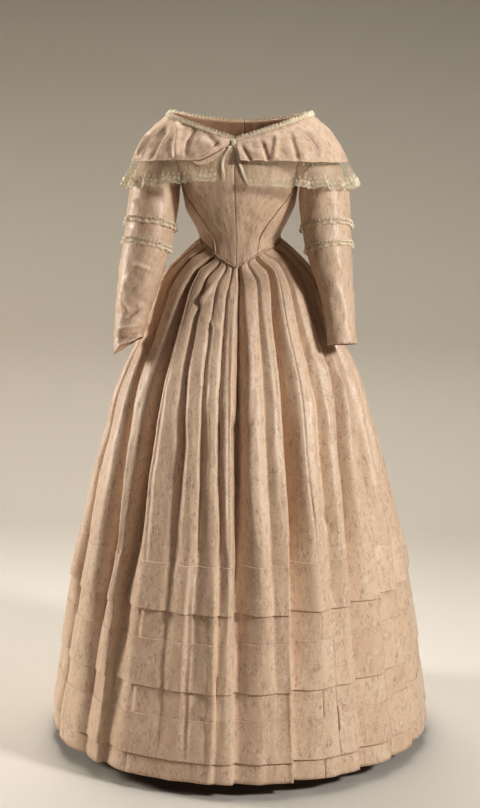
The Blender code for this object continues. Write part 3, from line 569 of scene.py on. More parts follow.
def crease_field(points: np.ndarray, creases: Sequence[Crease], front: float = 0.02) -> np.ndarray:
    """How far the creases raise each point of a grid that faces the front.

    Args:
        points: The grid.
        creases: Their routes are X and Z, in metres.
        front: Points with a greater Y than this stay as they are.

    Returns:
        The rise along the normal, in metres.
    """
    x, z = points[..., 0], points[..., 2]
    total = np.zeros(x.shape)
    for crease in creases:
        route = np.array(crease.route, float)
        lengths = np.linalg.norm(np.diff(route, axis=0), axis=1)
        whole = lengths.sum()
        nearest = np.full(x.shape, 9.0)
        side = np.zeros(x.shape)
        place = np.zeros(x.shape)
        walked = 0.0
        for start, end, length in zip(route[:-1], route[1:], lengths):
            way = (end - start) / length
            along = (x - start[0]) * way[0] + (z - start[1]) * way[1]
            held = np.clip(along, 0.0, length)
            away = np.hypot(x - start[0] - way[0] * held, z - start[1] - way[1] * held)
            closer = away < nearest
            nearest = np.where(closer, away, nearest)
            side = np.where(closer, (x - start[0]) * way[1] - (z - start[1]) * way[0], side)
            place = np.where(closer, (walked + held) / whole, place)
            walked += length
        taper = np.clip(np.sin(np.pi * np.clip(place, 0.02, 0.98)) * 1.6, 0.0, 1.0)
        spread = np.exp(-((nearest / crease.width) ** 2))
        tilt = 1.0 + 0.8 * np.clip(side / crease.width, -1.0, 1.0)
        total += crease.rise * taper * spread * tilt
    return np.where(points[..., 1] < front, total, 0.0)


def mesh_of(name: str, points: np.ndarray, closed: bool, outward: np.ndarray) -> bpy.types.Mesh:
    """A quad mesh of a grid, faces out, with its cloth coordinates in metres as its UV.

    Args:
        name: The mesh's name.
        points: Rows by columns by three.
        closed: Whether the rows close on themselves.
        outward: A direction a point, on the cloth's right side.

    Returns:
        The mesh, with smooth faces.
    """
    rows, columns = points.shape[:2]
    steps = np.linalg.norm(np.diff(points, axis=0), axis=-1)
    down = np.concatenate([np.zeros((1, columns)), np.cumsum(steps, 0)])
    ring = np.concatenate([points, points[:, :1]], 1) if closed else points
    widths = np.linalg.norm(np.diff(ring, axis=1), axis=-1)
    widest = widths[int(np.argmax(widths.sum(1)))]
    across = np.concatenate([[0.0], np.cumsum(widest)])
    index = np.arange(rows * columns).reshape(rows, columns)
    after = np.roll(index, -1, 1) if closed else index[:, 1:]
    now = index if closed else index[:, :-1]
    quads = np.stack([now[:-1], after[:-1], after[1:], now[1:]], -1).reshape(-1, 4)
    count = now.shape[1]
    lefts = np.tile(across[:count], (rows, 1))
    rights = np.tile(across[1 : count + 1], (rows, 1))
    after_downs = np.roll(down, -1, 1) if closed else down[:, 1:]
    now_downs = down if closed else down[:, :-1]
    starts, ends = np.stack([lefts, now_downs], -1), np.stack([rights, after_downs], -1)
    corners = np.stack([starts[:-1], ends[:-1], ends[1:], starts[1:]], 2).reshape(-1, 4, 2)
    flat = points.reshape(-1, 3)
    middle = flat[quads]
    facing = np.cross(middle[:, 1] - middle[:, 0], middle[:, 3] - middle[:, 0])
    if float((facing * outward.reshape(-1, 3)[quads[:, 0]]).sum()) < 0.0:
        quads, corners = quads[:, ::-1], corners[:, ::-1]
    mesh = bpy.data.meshes.new(name)
    mesh.from_pydata(flat.tolist(), [], quads.tolist())
    layer = mesh.uv_layers.new(name="cloth")
    layer.data.foreach_set("uv", corners.reshape(-1).astype(np.float32))
    mesh.polygons.foreach_set("use_smooth", np.ones(len(quads), bool))
    mesh.update()
    return mesh


class Shader:
    """Builds one material's nodes with short calls."""

    def __init__(self, name: str) -> None:
        self.material = bpy.data.materials.new(name)
        self.material.use_nodes = True
        self.tree = self.material.node_tree
        self.base = self.tree.nodes["Principled BSDF"]

    def node(
        self, kind: str, inputs: dict[str | int, object] | None = None, **settings: object
    ) -> bpy.types.Node:
        """Add a node; an input given as a socket is linked and any other is set."""
        made = self.tree.nodes.new(kind)
        for key, value in settings.items():
            setattr(made, key, value)
        for key, value in (inputs or {}).items():
            if isinstance(value, Socket):
                self.tree.links.new(value, made.inputs[key])
            else:
                made.inputs[key].default_value = value
        return made

    def math(self, operation: str, first: object, second: object = 0.0) -> Socket:
        """The result of one sum."""
        return self.node("ShaderNodeMath", {0: first, 1: second}, operation=operation).outputs[0]

    def span(self, value: object, low: float, high: float, start: float = 0.0, end: float = 1.0) -> Socket:
        """A value mapped softly from one span to another."""
        inputs = {"Value": value, "From Min": low, "From Max": high, "To Min": start, "To Max": end}
        return self.node("ShaderNodeMapRange", inputs, interpolation_type="SMOOTHSTEP").outputs["Result"]

    def mix(self, share: object, first: object, second: object) -> Socket:
        """Two colours mixed."""
        return self.node("ShaderNodeMix", {0: share, 6: first, 7: second}, data_type="RGBA").outputs[2]

    def noise(self, across: float, down: float, detail: float, rough: float = 0.5) -> Socket:
        """Noise over the cloth, in cells of that size in metres."""
        inputs = {"Vector": self.cloth(across, down), "Scale": 1.0, "Detail": detail, "Roughness": rough}
        return self.node("ShaderNodeTexNoise", inputs).outputs[0]

    def set(self, name: str, value: object) -> None:
        """Set or link an input of the shader."""
        if isinstance(value, Socket):
            self.tree.links.new(value, self.base.inputs[name])
        else:
            self.base.inputs[name].default_value = value

    def cloth(self, across: float, down: float) -> Socket:
        """The cloth coordinates in cells of that size, in metres."""
        place = self.node("ShaderNodeUVMap", uv_map="cloth")
        scale = self.node("ShaderNodeMapping", {0: place.outputs[0], "Scale": (1 / across, 1 / down, 1.0)})
        return scale.outputs[0]


def silk_material() -> bpy.types.Material:
    """Figured silk: small leafy sprigs in the weave, with flecks of a darker thread."""
    make = Shader("figured_silk")
    cells = make.cloth(0.022, 0.034)
    swirl = make.node("ShaderNodeTexNoise", {"Vector": cells, "Scale": 1.7, "Detail": 1.0}).outputs["Color"]
    bent = make.node("ShaderNodeVectorMath", {0: swirl, 1: (0.5, 0.5, 0.0)}, operation="SUBTRACT").outputs[0]
    bent = make.node("ShaderNodeVectorMath", {0: bent, "Scale": 0.9}, operation="SCALE").outputs[0]
    bent = make.node("ShaderNodeVectorMath", {0: cells, 1: bent}, operation="ADD").outputs[0]
    sprig = make.node("ShaderNodeTexVoronoi", {"Vector": bent, "Scale": 1.0, "Randomness": 0.75})
    leafy = make.node("ShaderNodeTexVoronoi", {"Vector": bent, "Scale": 4.2, "Randomness": 1.0})
    leaf = make.span(leafy.outputs["Distance"], 0.50, 0.36)
    group = make.span(sprig.outputs["Distance"], 0.58, 0.44)
    spray = make.math("MULTIPLY", leaf, group)
    vine_noise = make.node("ShaderNodeTexNoise", {"Vector": bent, "Scale": 1.3, "Detail": 0.5}).outputs[0]
    vine = make.span(make.math("ABSOLUTE", make.math("SUBTRACT", vine_noise, 0.5)), 0.022, 0.010)
    figure = make.math("MAXIMUM", spray, make.math("MULTIPLY", vine, 0.8))
    facets = make.node("ShaderNodeTexVoronoi", {"Vector": make.cloth(0.013, 0.028), "Scale": 1.0})
    pressed = facets.outputs["Distance"]
    streak = make.noise(0.006, 0.022, 3.0, 0.6)
    fleck = make.math("MULTIPLY", make.span(streak, 0.53, 0.66), make.span(group, 0.1, 0.9, 0.35, 1.0))
    tone = make.noise(0.16, 0.30, 2.0)
    ground = make.mix(make.span(tone, 0.3, 0.7), (0.690, 0.525, 0.395, 1), (0.765, 0.603, 0.465, 1))
    colour = make.mix(make.math("MULTIPLY", spray, 0.34), ground, (0.480, 0.335, 0.265, 1))
    colour = make.mix(make.math("MULTIPLY", vine, 0.45), colour, (0.830, 0.715, 0.605, 1))
    colour = make.mix(make.math("MULTIPLY", fleck, 0.45), colour, (0.380, 0.240, 0.190, 1))
    make.set("Base Color", colour)
    make.set("Roughness", make.span(figure, 0.0, 1.0, 0.46, 0.36))
    make.set("Specular IOR Level", 0.45)
    make.set("Sheen Weight", 0.12)
    make.set("Sheen Roughness", 0.4)
    slub = make.noise(0.0009, 0.009, 2.0)
    crumple = make.noise(0.010, 0.018, 4.0, 0.6)
    height = make.math("ADD", make.math("MULTIPLY", slub, 0.12), make.math("MULTIPLY", figure, 0.25))
    height = make.math("ADD", height, make.math("MULTIPLY", crumple, 0.7))
    height = make.math("ADD", height, make.math("MULTIPLY", pressed, 0.5))
    bump = make.node("ShaderNodeBump", {"Strength": 0.55, "Distance": 0.0011, "Height": height})
    make.set("Normal", bump.outputs[0])
    return make.material


def plain_material(name: str, colour: tuple[float, float, float], rough: float) -> bpy.types.Material:
    """An even cloth with a fine weave."""
    make = Shader(name)
    weave = make.noise(0.0016, 0.0016, 1.0)
    make.set("Base Color", (*colour, 1.0))
    make.set("Roughness", rough)
    make.set("Sheen Weight", 0.15)
    bump = make.node("ShaderNodeBump", {"Strength": 0.3, "Distance": 0.0003, "Height": weave})
    make.set("Normal", bump.outputs[0])
    return make.material


def net_material() -> bpy.types.Material:
    """Fine even net: threads with open meshes between them."""
    make = Shader("ecru_net")
    cells = {"Vector": make.cloth(0.0017, 0.0017), "Scale": 1.0, "Randomness": 0.25}
    mesh = make.node("ShaderNodeTexVoronoi", cells, feature="DISTANCE_TO_EDGE").outputs["Distance"]
    thread = make.span(mesh, 0.075, 0.030)
    dots = {"Vector": make.cloth(0.011, 0.011), "Scale": 1.0, "Randomness": 0.4}
    spot = make.node("ShaderNodeTexVoronoi", dots)
    dot = make.span(spot.outputs["Distance"], 0.16, 0.10)
    make.set("Base Color", (0.860, 0.760, 0.580, 1))
    make.set("Roughness", 0.8)
    make.set("Alpha", make.math("MAXIMUM", thread, dot))
    return make.material


class Finishes:
    """The dress's materials, made once."""

    def __init__(self) -> None:
        self.silk = silk_material()
        self.lining = plain_material("plain_lining", (0.52, 0.36, 0.25), 0.7)
        self.thread = plain_material("silk_thread", (0.50, 0.34, 0.25), 0.5)
        self.lace = plain_material("ecru_lace", (0.92, 0.86, 0.70), 0.75)
        self.net = net_material()
        self.ribbon = plain_material("cream_ribbon", (0.90, 0.83, 0.67), 0.38)


@dataclass
class Cloth:
    """One surface of cloth: its points, and which way is out at each."""

    name: str
    points: np.ndarray
    outward: np.ndarray
    closed: bool = False

    def raise_by(self, amount: np.ndarray) -> None:
        """Move every point along its normal."""
        normals = normals_of(self.points, self.closed, self.outward)
        self.points = self.points + normals * amount[..., None]

    def mesh(self) -> bpy.types.Mesh:
        """The cloth's mesh."""
        return mesh_of(self.name, self.points, self.closed, self.outward)


def from_axis(points: np.ndarray) -> np.ndarray:
    """Directions away from the body's axis."""
    return points * np.array((1.0, 1.0, 0.0))


class Piece(ABC):
    """One shown piece of the dress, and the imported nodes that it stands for."""

    def __init__(self, name: str, slot: str, nodes: Sequence[str]) -> None:
        self.name = name
        self.slot = slot
        self.nodes = nodes

    @abstractmethod
    def build(self, finishes: Finishes) -> bpy.types.Object:
        """Make the piece's object."""

    def place(self, finishes: Finishes) -> bpy.types.Object:
        """Make the piece and hand it to the frame.

        Args:
            finishes: The materials.

        Returns:
            The object.
        """
        made = self.build(finishes)
        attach(made, "root")
        if self.nodes:
            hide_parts(*self.nodes)
        LOG.info("%s: %d faces", self.name, len(made.data.polygons))
        return made


def link(name: str, mesh: bpy.types.Mesh, materials: Sequence[bpy.types.Material]) -> bpy.types.Object:
    """Put a mesh in the scene with its materials."""
    made = bpy.data.objects.new(name, mesh)
    bpy.context.scene.collection.objects.link(made)
    for material in materials:
        mesh.materials.append(material)
    return made


class Sheet(Piece):
    """A piece of cloth with its wall and its flat size."""

    def __init__(
        self,
        cloth: Cloth,
        slot: str,
        nodes: Sequence[str],
        flat: tuple[float, float],
        held: str,
        wall: float = SILK_WALL,
        lined: bool = True,
        area: float | None = None,
    ) -> None:
        super().__init__(cloth.name, slot, nodes)
        self.cloth = cloth
        self.flat = flat
        self.held = held
        self.wall = wall
        self.lined = lined
        self.area = area

    def build(self, finishes: Finishes) -> bpy.types.Object:
        """The cloth's wall, lined on the inside."""
        if self.slot == LACE_SLOT:
            return link(self.name, self.cloth.mesh(), [finishes.net])
        if self.slot == RIBBON_SLOT:
            made = link(self.name, self.cloth.mesh(), [finishes.ribbon])
        else:
            made = link(self.name, self.cloth.mesh(), [finishes.silk, finishes.lining])
        solid = made.modifiers.new("wall", "SOLIDIFY")
        solid.thickness = self.wall
        solid.offset = -1.0
        solid.material_offset = 1 if self.lined and self.slot == SILK_SLOT else 0
        return made

    def place(self, finishes: Finishes) -> bpy.types.Object:
        """Make the sheet."""
        made = super().place(finishes)
        return made


@dataclass
class Spots:
    """Where small things repeat: their places, turns and sizes."""

    places: np.ndarray
    turns: np.ndarray
    sizes: np.ndarray


def spots_along(
    edge: np.ndarray, outward: np.ndarray, spacing: float, seed: int, jitter: float = 0.10, shift: float = 0.0
) -> Spots:
    """Places at even steps along an edge, each turned to lie on the cloth.

    Args:
        edge: The edge's points in order.
        outward: The direction out of the cloth at each.
        spacing: The step along the edge, in metres.
        seed: For the small unevenness of hand work.
        jitter: How uneven size and turn are.
        shift: How far along the first one stands, in steps.

    Returns:
        The places, whose local X runs along the edge and Y out of the cloth.
    """
    chance = np.random.default_rng(seed)
    lengths = np.concatenate([[0.0], np.cumsum(np.linalg.norm(np.diff(edge, axis=0), axis=1))])
    count = max(2, int(lengths[-1] / spacing))
    marks = (np.arange(count) + 0.5 + shift) * lengths[-1] / (count + shift * 2.0)
    places = np.stack([np.interp(marks, lengths, edge[:, axis]) for axis in range(3)], -1)
    ahead = np.stack([np.interp(marks + spacing * 0.4, lengths, edge[:, axis]) for axis in range(3)], -1)
    behind = np.stack([np.interp(marks - spacing * 0.4, lengths, edge[:, axis]) for axis in range(3)], -1)
    out = np.stack([np.interp(marks, lengths, outward[:, axis]) for axis in range(3)], -1)
    turns, sizes = [], []
    for along, away in zip(ahead - behind, out):
        along = along / np.linalg.norm(along)
        away = away - along * np.dot(away, along)
        away = away / np.linalg.norm(away)
        up = np.cross(along, away)
        if up[2] < 0.0:
            along, up = -along, -up
        spin = Matrix(np.stack([along, away, up], 1).tolist())
        spin = spin @ Matrix.Rotation(chance.normal() * jitter, 3, "Y")
        turns.append(tuple(spin.to_euler()))
        sizes.append(1.0 + jitter * chance.normal())
    return Spots(places, np.array(turns), np.array(sizes))


class Scatter(Piece):
    """A small thing repeated over spots by a geometry node tree."""

    def __init__(
        self, name: str, slot: str, nodes: Sequence[str], motif: Callable[[], bpy.types.Mesh], spots: Spots, finish: str
    ) -> None:
        super().__init__(name, slot, nodes)
        self.motif = motif
        self.spots = spots
        self.finish = finish

    def build(self, finishes: Finishes) -> bpy.types.Object:
        """Repeat the motif and make the result real."""
        material = getattr(finishes, self.finish)
        carrier_mesh = bpy.data.meshes.new(self.name)
        carrier_mesh.from_pydata(self.spots.places.tolist(), [], [])
        turn = carrier_mesh.attributes.new("turn", "FLOAT_VECTOR", "POINT")
        turn.data.foreach_set("vector", self.spots.turns.reshape(-1).astype(np.float32))
        size = carrier_mesh.attributes.new("size", "FLOAT", "POINT")
        size.data.foreach_set("value", self.spots.sizes.astype(np.float32))
        carrier = bpy.data.objects.new(self.name + "_spots", carrier_mesh)
        bpy.context.scene.collection.objects.link(carrier)
        motif = bpy.data.objects.new(self.name + "_motif", self.motif())
        bpy.context.scene.collection.objects.link(motif)
        modifier = carrier.modifiers.new("repeat", "NODES")
        modifier.node_group = self.tree(motif, material)
        bpy.context.view_layer.update()
        graph = bpy.context.evaluated_depsgraph_get()
        mesh = bpy.data.meshes.new_from_object(carrier.evaluated_get(graph))
        mesh.name = self.name
        bpy.data.objects.remove(carrier)
        bpy.data.objects.remove(motif)
        made = bpy.data.objects.new(self.name, mesh)
        bpy.context.scene.collection.objects.link(made)
        return made

    def tree(self, motif: bpy.types.Object, material: bpy.types.Material) -> bpy.types.NodeTree:
        """The geometry node tree that sets the motif on every spot."""
        tree = bpy.data.node_groups.new(self.name, "GeometryNodeTree")
        tree.interface.new_socket("Geometry", in_out="INPUT", socket_type="NodeSocketGeometry")
        tree.interface.new_socket("Geometry", in_out="OUTPUT", socket_type="NodeSocketGeometry")
        nodes, links = tree.nodes, tree.links
        start = nodes.new("NodeGroupInput")
        info = nodes.new("GeometryNodeObjectInfo")
        info.inputs["Object"].default_value = motif
        turn = nodes.new("GeometryNodeInputNamedAttribute")
        turn.data_type = "FLOAT_VECTOR"
        turn.inputs["Name"].default_value = "turn"
        size = nodes.new("GeometryNodeInputNamedAttribute")
        size.data_type = "FLOAT"
        size.inputs["Name"].default_value = "size"
        instance = nodes.new("GeometryNodeInstanceOnPoints")
        real = nodes.new("GeometryNodeRealizeInstances")
        paint = nodes.new("GeometryNodeSetMaterial")
        paint.inputs["Material"].default_value = material
        end = nodes.new("NodeGroupOutput")
        links.new(start.outputs[0], instance.inputs["Points"])
        links.new(info.outputs["Geometry"], instance.inputs["Instance"])
        links.new(turn.outputs["Attribute"], instance.inputs["Rotation"])
        links.new(size.outputs["Attribute"], instance.inputs["Scale"])
        links.new(instance.outputs[0], real.inputs[0])
        links.new(real.outputs[0], paint.inputs["Geometry"])
        links.new(paint.outputs[0], end.inputs[0])
        return tree


def motif_mesh(name: str, strips: Sequence[np.ndarray]) -> bpy.types.Mesh:
    """A mesh of several small grids, with plain cloth coordinates."""
    points: list[tuple[float, float, float]] = []
    faces: list[tuple[int, int, int, int]] = []
    for strip in strips:
        rows, columns = strip.shape[:2]
        base = len(points)
        points += [tuple(point) for point in strip.reshape(-1, 3)]
        for row in range(rows - 1):
            for column in range(columns - 1):
                first = base + row * columns + column
                faces.append((first, first + 1, first + columns + 1, first + columns))
    mesh = bpy.data.meshes.new(name)
    mesh.from_pydata(points, [], faces)
    layer = mesh.uv_layers.new(name="cloth")
    for loop in mesh.loops:
        place = points[loop.vertex_index]
        layer.data[loop.index].uv = (place[0], place[2])
    mesh.polygons.foreach_set("use_smooth", np.ones(len(faces), bool))
    mesh.update()
    return mesh


def ring_strip(
    centre: tuple[float, float], size: tuple[float, float], thick: float, turn: float = 0.0, steps: int = 9, cup: float = 0.0
) -> np.ndarray:
    """A flat ring of thread in the XZ plane, as a grid of three rows that stands a little proud."""
    around = np.linspace(0.0, 2.0 * math.pi, steps)
    rows = []
    for share, proud in ((1.0, 0.0), (0.5, 1.0), (0.0, 0.0)):
        width = size[0] - thick * (1.0 - share)
        height = size[1] - thick * (1.0 - share)
        x = width * np.cos(around)
        z = height * np.sin(around)
        spun_x = x * math.cos(turn) - z * math.sin(turn) + centre[0]
        spun_z = x * math.sin(turn) + z * math.cos(turn) + centre[1]
        rows.append(np.stack([spun_x, np.full_like(x, proud * 0.0006) + cup * (x**2 + z**2), spun_z], -1))
    return np.array(rows)


def flower_mesh() -> bpy.types.Mesh:
    """A small lace flower: six looped petals round a ring."""
    strips = [ring_strip((0.0, 0.0), (0.0009, 0.0009), 0.0005, steps=7)]
    for petal in range(6):
        turn = petal * math.pi / 3.0 + 0.3
        centre = (0.0023 * math.cos(turn), 0.0023 * math.sin(turn))
        strips.append(ring_strip(centre, (0.0015, 0.0010), 0.0006, turn, steps=8))
    return motif_mesh("flower", strips)


def scallop_mesh() -> bpy.types.Mesh:
    """One scallop of the border, hanging from its top: an arch, its picots, a flower and two leaves."""
    strips = []
    around = np.linspace(math.pi, 2.0 * math.pi, 10)
    for size, thick in (((0.0068, 0.0066), 0.0011), ((0.0046, 0.0040), 0.0007)):
        rows = []
        for share, proud in ((1.0, 0.0), (0.5, 0.0006), (0.0, 0.0)):
            wide, deep = size[0] - thick * (1 - share), size[1] - thick * (1 - share)
            x, z = wide * np.cos(around), deep * np.sin(around)
            rows.append(np.stack([x, np.full_like(x, proud), z], -1))
        strips.append(np.array(rows))
    for picot in range(6):
        turn = math.pi * (1.08 + 0.168 * picot)
        centre = (0.0074 * math.cos(turn), 0.0072 * math.sin(turn))
        strips.append(ring_strip(centre, (0.0010, 0.0010), 0.0005, turn, steps=6))
    for petal in range(5):
        turn = petal * 2.0 * math.pi / 5.0 + 0.2
        centre = (0.0019 * math.cos(turn), 0.0019 * math.sin(turn) - 0.0004)
        strips.append(ring_strip(centre, (0.0013, 0.0008), 0.0005, turn, steps=7))
    return motif_mesh("scallop", strips)


def sprig_mesh() -> bpy.types.Mesh:
    """A lace leaf spray that stands above the border: a stem with pairs of leaves."""
    strips = []
    stem = np.linspace(0.0, 0.0075, 4)
    bow = 0.0006 * np.sin(stem / 0.0075 * math.pi)
    strips.append(np.array([np.stack([bow + side * 0.0003, np.full(4, 0.0002), stem], -1) for side in (-1, 1)]))
    for level, size in ((0.0022, 0.0017), (0.0046, 0.0014)):
        for side in (-1, 1):
            turn = side * 0.7 + (math.pi if side < 0 else 0.0)
            strips.append(ring_strip((side * size, level + size * 0.7), (size, size * 0.5), 0.0006, turn, steps=7))
    strips.append(ring_strip((0.0, 0.0088), (0.0009, 0.0013), 0.0006, steps=7))
    return motif_mesh("sprig", strips)


def stitch_mesh() -> bpy.types.Mesh:
    """One short stitch, lying along X."""
    along = np.linspace(-0.0012, 0.0012, 4)
    swell = 0.0004 * np.sqrt(np.clip(1.0 - (along / 0.00125) ** 2, 0.02, 1.0))
    turns = np.linspace(0.0, 2.0 * math.pi, 5)
    rows = [np.stack([along, swell * math.cos(turn), swell * 0.7 * math.sin(turn)], -1) for turn in turns]
    return motif_mesh("stitch", [np.array(rows)])


def tube_points(route: np.ndarray, radius: float, closed: bool, sides: int = 8, twist: float = 0.0) -> np.ndarray:
    """Rings round a route, as a grid whose rows close on themselves."""
    if closed:
        ahead, behind = np.roll(route, -1, 0), np.roll(route, 1, 0)
    else:
        ahead = np.concatenate([route[1:], route[-1:]])
        behind = np.concatenate([route[:1], route[:-1]])
    along = ahead - behind
    along /= np.linalg.norm(along, axis=1, keepdims=True)
    lead = np.tile(np.array((0.0, 0.0, 1.0)), (len(route), 1))
    steep = np.abs(along[:, 2]) > 0.85
    lead[steep] = (0.0, 1.0, 0.0)
    across = np.cross(along, lead)
    across /= np.linalg.norm(across, axis=1, keepdims=True)
    over = np.cross(along, across)
    turns = np.linspace(0.0, 2.0 * math.pi, sides, endpoint=False)
    rings = []
    for index in range(len(route)):
        phase = turns + twist * index
        swell = radius * (1.0 + 0.10 * math.sin(index * 0.9) * (1.0 if twist else 0.0))
        rings.append(route[index] + swell * (np.cos(phase)[:, None] * across[index] + np.sin(phase)[:, None] * over[index]))
    grid = np.array(rings)
    return np.concatenate([grid, grid[:1]]) if closed else grid


class Tube(Piece):
    """A covered cord sewn along a seam."""

    def __init__(self, name: str, nodes: Sequence[str], route: np.ndarray, radius: float, closed: bool) -> None:
        super().__init__(name, SILK_SLOT, nodes)
        self.route = route
        self.radius = radius
        self.closed = closed

    def build(self, finishes: Finishes) -> bpy.types.Object:
        """The cord in its silk cover."""
        grid = tube_points(self.route, self.radius, self.closed, twist=0.25)
        centre = np.concatenate([self.route, self.route[:1]]) if self.closed else self.route
        outward = grid - centre[:, None, :]
        return link(self.name, mesh_of(self.name, grid, True, outward), [finishes.silk])


class Skirt:
    """The gathered skirt: six widths of silk, three tucks and the sewing on them."""

    CREASES = creases_of(
        (7, -2, -78, -101, -57, -128),
        (5, 5, -42, -77, -62, -108, -77, -135),
        (4, 4, -45, -141, -13, -175),
        (4, 3.5, 12, -139, 14, -253, 13, -346),
        (4, 3.5, 36, -146, 46, -253, 40, -342),
        (5, -2.2, 8, -335, 25, -366, 44, -334),
        (4, -4, 185, -502, 202, -548, 216, -511),
        (4, 3, 282, -443, 339, -679),
        (4, -3, 311, -527, 286, -635),
        (4, 2.5, -18, -180, -10, -384, -9, -591),
        (3, -2.5, -7, -106, 4, -327, 13, -591),
        (4, 3, 155, -169, 172, -392, 184, -593),
        (4, 3, -57, -191, -55, -367, -55, -586),
        (4, -3, -113, -334, -119, -486, -127, -601),
        (4, 3, 152, -208, 224, -273, 242, -387),
        (4, 3, 260, -358, 297, -628),
        (9, 2, -126, -659, -130, -855, -141, -1015),
        (6, -4, -59, -594, -65, -768, -70, -1015),
        (6, 4, -14, -620, -12, -862, -13, -1020),
        (10, -1.5, 150, -615, 160, -829, 174, -1024),
        (10, 1.5, 208, -633, 224, -859, 245, -1022),
        (10, 1.5, 289, -682, 317, -888, 340, -1037),
        (6, -4, -190, -689, -209, -871, -227, -996),
        (5, -4, 35, -609, 39, -744, 36, -900),
    )

    def __init__(self) -> None:
        count = len(VALLEYS)
        flank = round(PLEAT_COLUMNS * 0.3)
        panel = PLEAT_COLUMNS - flank
        shares = np.concatenate([np.arange(flank) / flank, 2.0 - (1.0 - np.arange(panel) / panel) ** 1.6])
        rows = []
        for level in SKIRT_LEVELS:
            held = level - (0.0008 if level == 0.0 else 0.0)
            rows.append([skirt_point(pleat, float(share), held) for pleat in range(count) for share in shares])
        grid = np.array(rows)
        grid = resample(grid, 0, len(SKIRT_LEVELS) * ROW_STEP)
        self.bare = grid.copy()
        self.levels = grid[..., 2].mean(1)
        cloth = Cloth("skirt", grid, from_axis(grid), True)
        cloth.raise_by(self.relief(grid))
        self.grid = cloth.points
        self.normals = normals_of(self.grid, True, from_axis(self.grid))

    def relief(self, grid: np.ndarray) -> np.ndarray:
        """The small creases: puckers at the stitching, crushed silk between, and those listed."""
        height = grid[..., 2]
        slack = np.clip((-height - 0.03) / 0.25, 0.0, 1.0)
        total = 0.0017 * slack * ripples(grid, (0.075, 0.075, 0.30), 5, True)
        total += 0.0009 * slack * ripples(grid, (0.030, 0.030, 0.10), 11, True)
        total += 0.0004 * slack * ripples(grid, (0.012, 0.012, 0.03), 17)
        for stitch, edge in TUCKS:
            for line, reach, amount in ((stitch, 0.012, 0.0007), (edge, 0.010, 0.0003)):
                near = np.exp(-np.abs(height - line) / reach)
                total += amount * near * ripples(grid, (0.016, 0.016, 0.40), int(-line * 1000))
        facing = np.exp(-np.abs(height - HEM_FACING) / 0.008)
        total += 0.0004 * facing * ripples(grid, (0.018, 0.018, 0.5), 77)
        total -= 0.0008 * np.exp(-(((height - HEM_FACING) / 0.0022) ** 2))
        band = np.clip((-height - 0.60) / 0.05, 0.0, 1.0)
        total += 0.0010 * band * ripples(grid, (0.06, 0.06, 0.05), 23, True)
        return total + crease_field(grid, self.CREASES, 0.0)

    def ring(self, height: float) -> tuple[np.ndarray, np.ndarray]:
        """The skirt's points and normals along a level."""
        place = float(np.interp(-height, -self.levels, np.arange(len(self.levels))))
        row = min(int(place), len(self.levels) - 2)
        share = place - row
        points = self.grid[row] * (1.0 - share) + self.grid[row + 1] * share
        normals = self.normals[row] * (1.0 - share) + self.normals[row + 1] * share
        return points, normals / np.linalg.norm(normals, axis=-1, keepdims=True)

    def width(self, index: int) -> Sheet:
        """One width of the silk."""
        cut = round(PLEAT_COLUMNS * 0.375)
        count = len(VALLEYS) * PLEAT_COLUMNS
        first = SEAM_PLEATS[index] * PLEAT_COLUMNS + cut
        last = SEAM_PLEATS[(index + 1) % len(SEAM_PLEATS)] * PLEAT_COLUMNS + cut
        last += count if last <= first else 0
        columns = [column % count for column in range(first, last + 1)]
        points = self.grid[:, columns]
        name = f"skirt_width_{index + 1}_silk"
        hem = length_of(points[-1])
        node = f"skirt_width_{index + 1}"
        return Sheet(Cloth(name, points, from_axis(points)), SILK_SLOT, [node], (round(hem, 2), 1.05), "gathered")

    def tuck(self, index: int) -> Sheet:
        """One tuck: a doubled fold that hangs from its stitching and stands off at its free edge."""
        stitch, edge = TUCKS[index]
        rows = []
        for share in (0.0, 0.03, 0.2, 0.4, 0.6, 0.8, 0.93, 0.985, 1.0):
            points = self.ring(stitch + (edge - stitch) * share)[0]
            away = from_axis(points) / np.linalg.norm(from_axis(points), axis=1, keepdims=True)
            stand = 0.0012 + 0.0028 * share
            stand = stand + 0.0008 * share * ripples(points, (0.06, 0.06, 0.06), 40 + index, True)
            stand = stand + 0.0005 * ripples(points, (0.02, 0.02, 0.2), 50 + index) * (1.0 - 0.7 * share)
            raised = points + away * np.maximum(stand, 0.0007)[:, None]
            raised[:, 2] += 0.0011 * share * ripples(points, (0.12, 0.12, 0.2), 60 + index, True)
            rows.append(raised)
        grid = np.array(rows)
        turned = grid[-1] - away * 0.0022 - np.array((0.0, 0.0, 0.0004))
        grid = np.concatenate([grid, turned[None]])
        name = f"skirt_tuck_{index + 1}_silk"
        length = length_of(np.concatenate([grid[-2], grid[-2][:1]]))
        cloth = Cloth(name, grid, from_axis(grid), True)
        size = (round(length, 2), round(stitch - edge, 3))
        return Sheet(cloth, SILK_SLOT, [f"skirt_tuck_{index + 1}"], size, "stretched", lined=False)

    def stitches(self, height: float, out: float, seed: int) -> Spots:
        """Running stitches round the skirt at a level."""
        points, normals = self.ring(height)
        points = points + normals * out
        loop = np.concatenate([points, points[:1]])
        away = np.concatenate([normals, normals[:1]])
        return spots_along(loop, away, 0.0042, seed, 0.06)

    def pieces(self) -> list[Piece]:
        """Everything of the skirt."""
        made: list[Piece] = [self.width(index) for index in range(len(SEAM_PLEATS))]
        made += [self.tuck(index) for index in range(len(TUCKS))]
        for index, (stitch, _) in enumerate(TUCKS):
            spots = self.stitches(stitch - 0.0022, 0.0016, 90 + index)
            made.append(Scatter(f"tuck_stitches_{index + 1}", SILK_SLOT, [], stitch_mesh, spots, "thread"))
        spots = self.stitches(HEM_FACING, 0.0002, 99)
        made.append(Scatter("hem_stitches", SILK_SLOT, [], stitch_mesh, spots, "thread"))
        return made


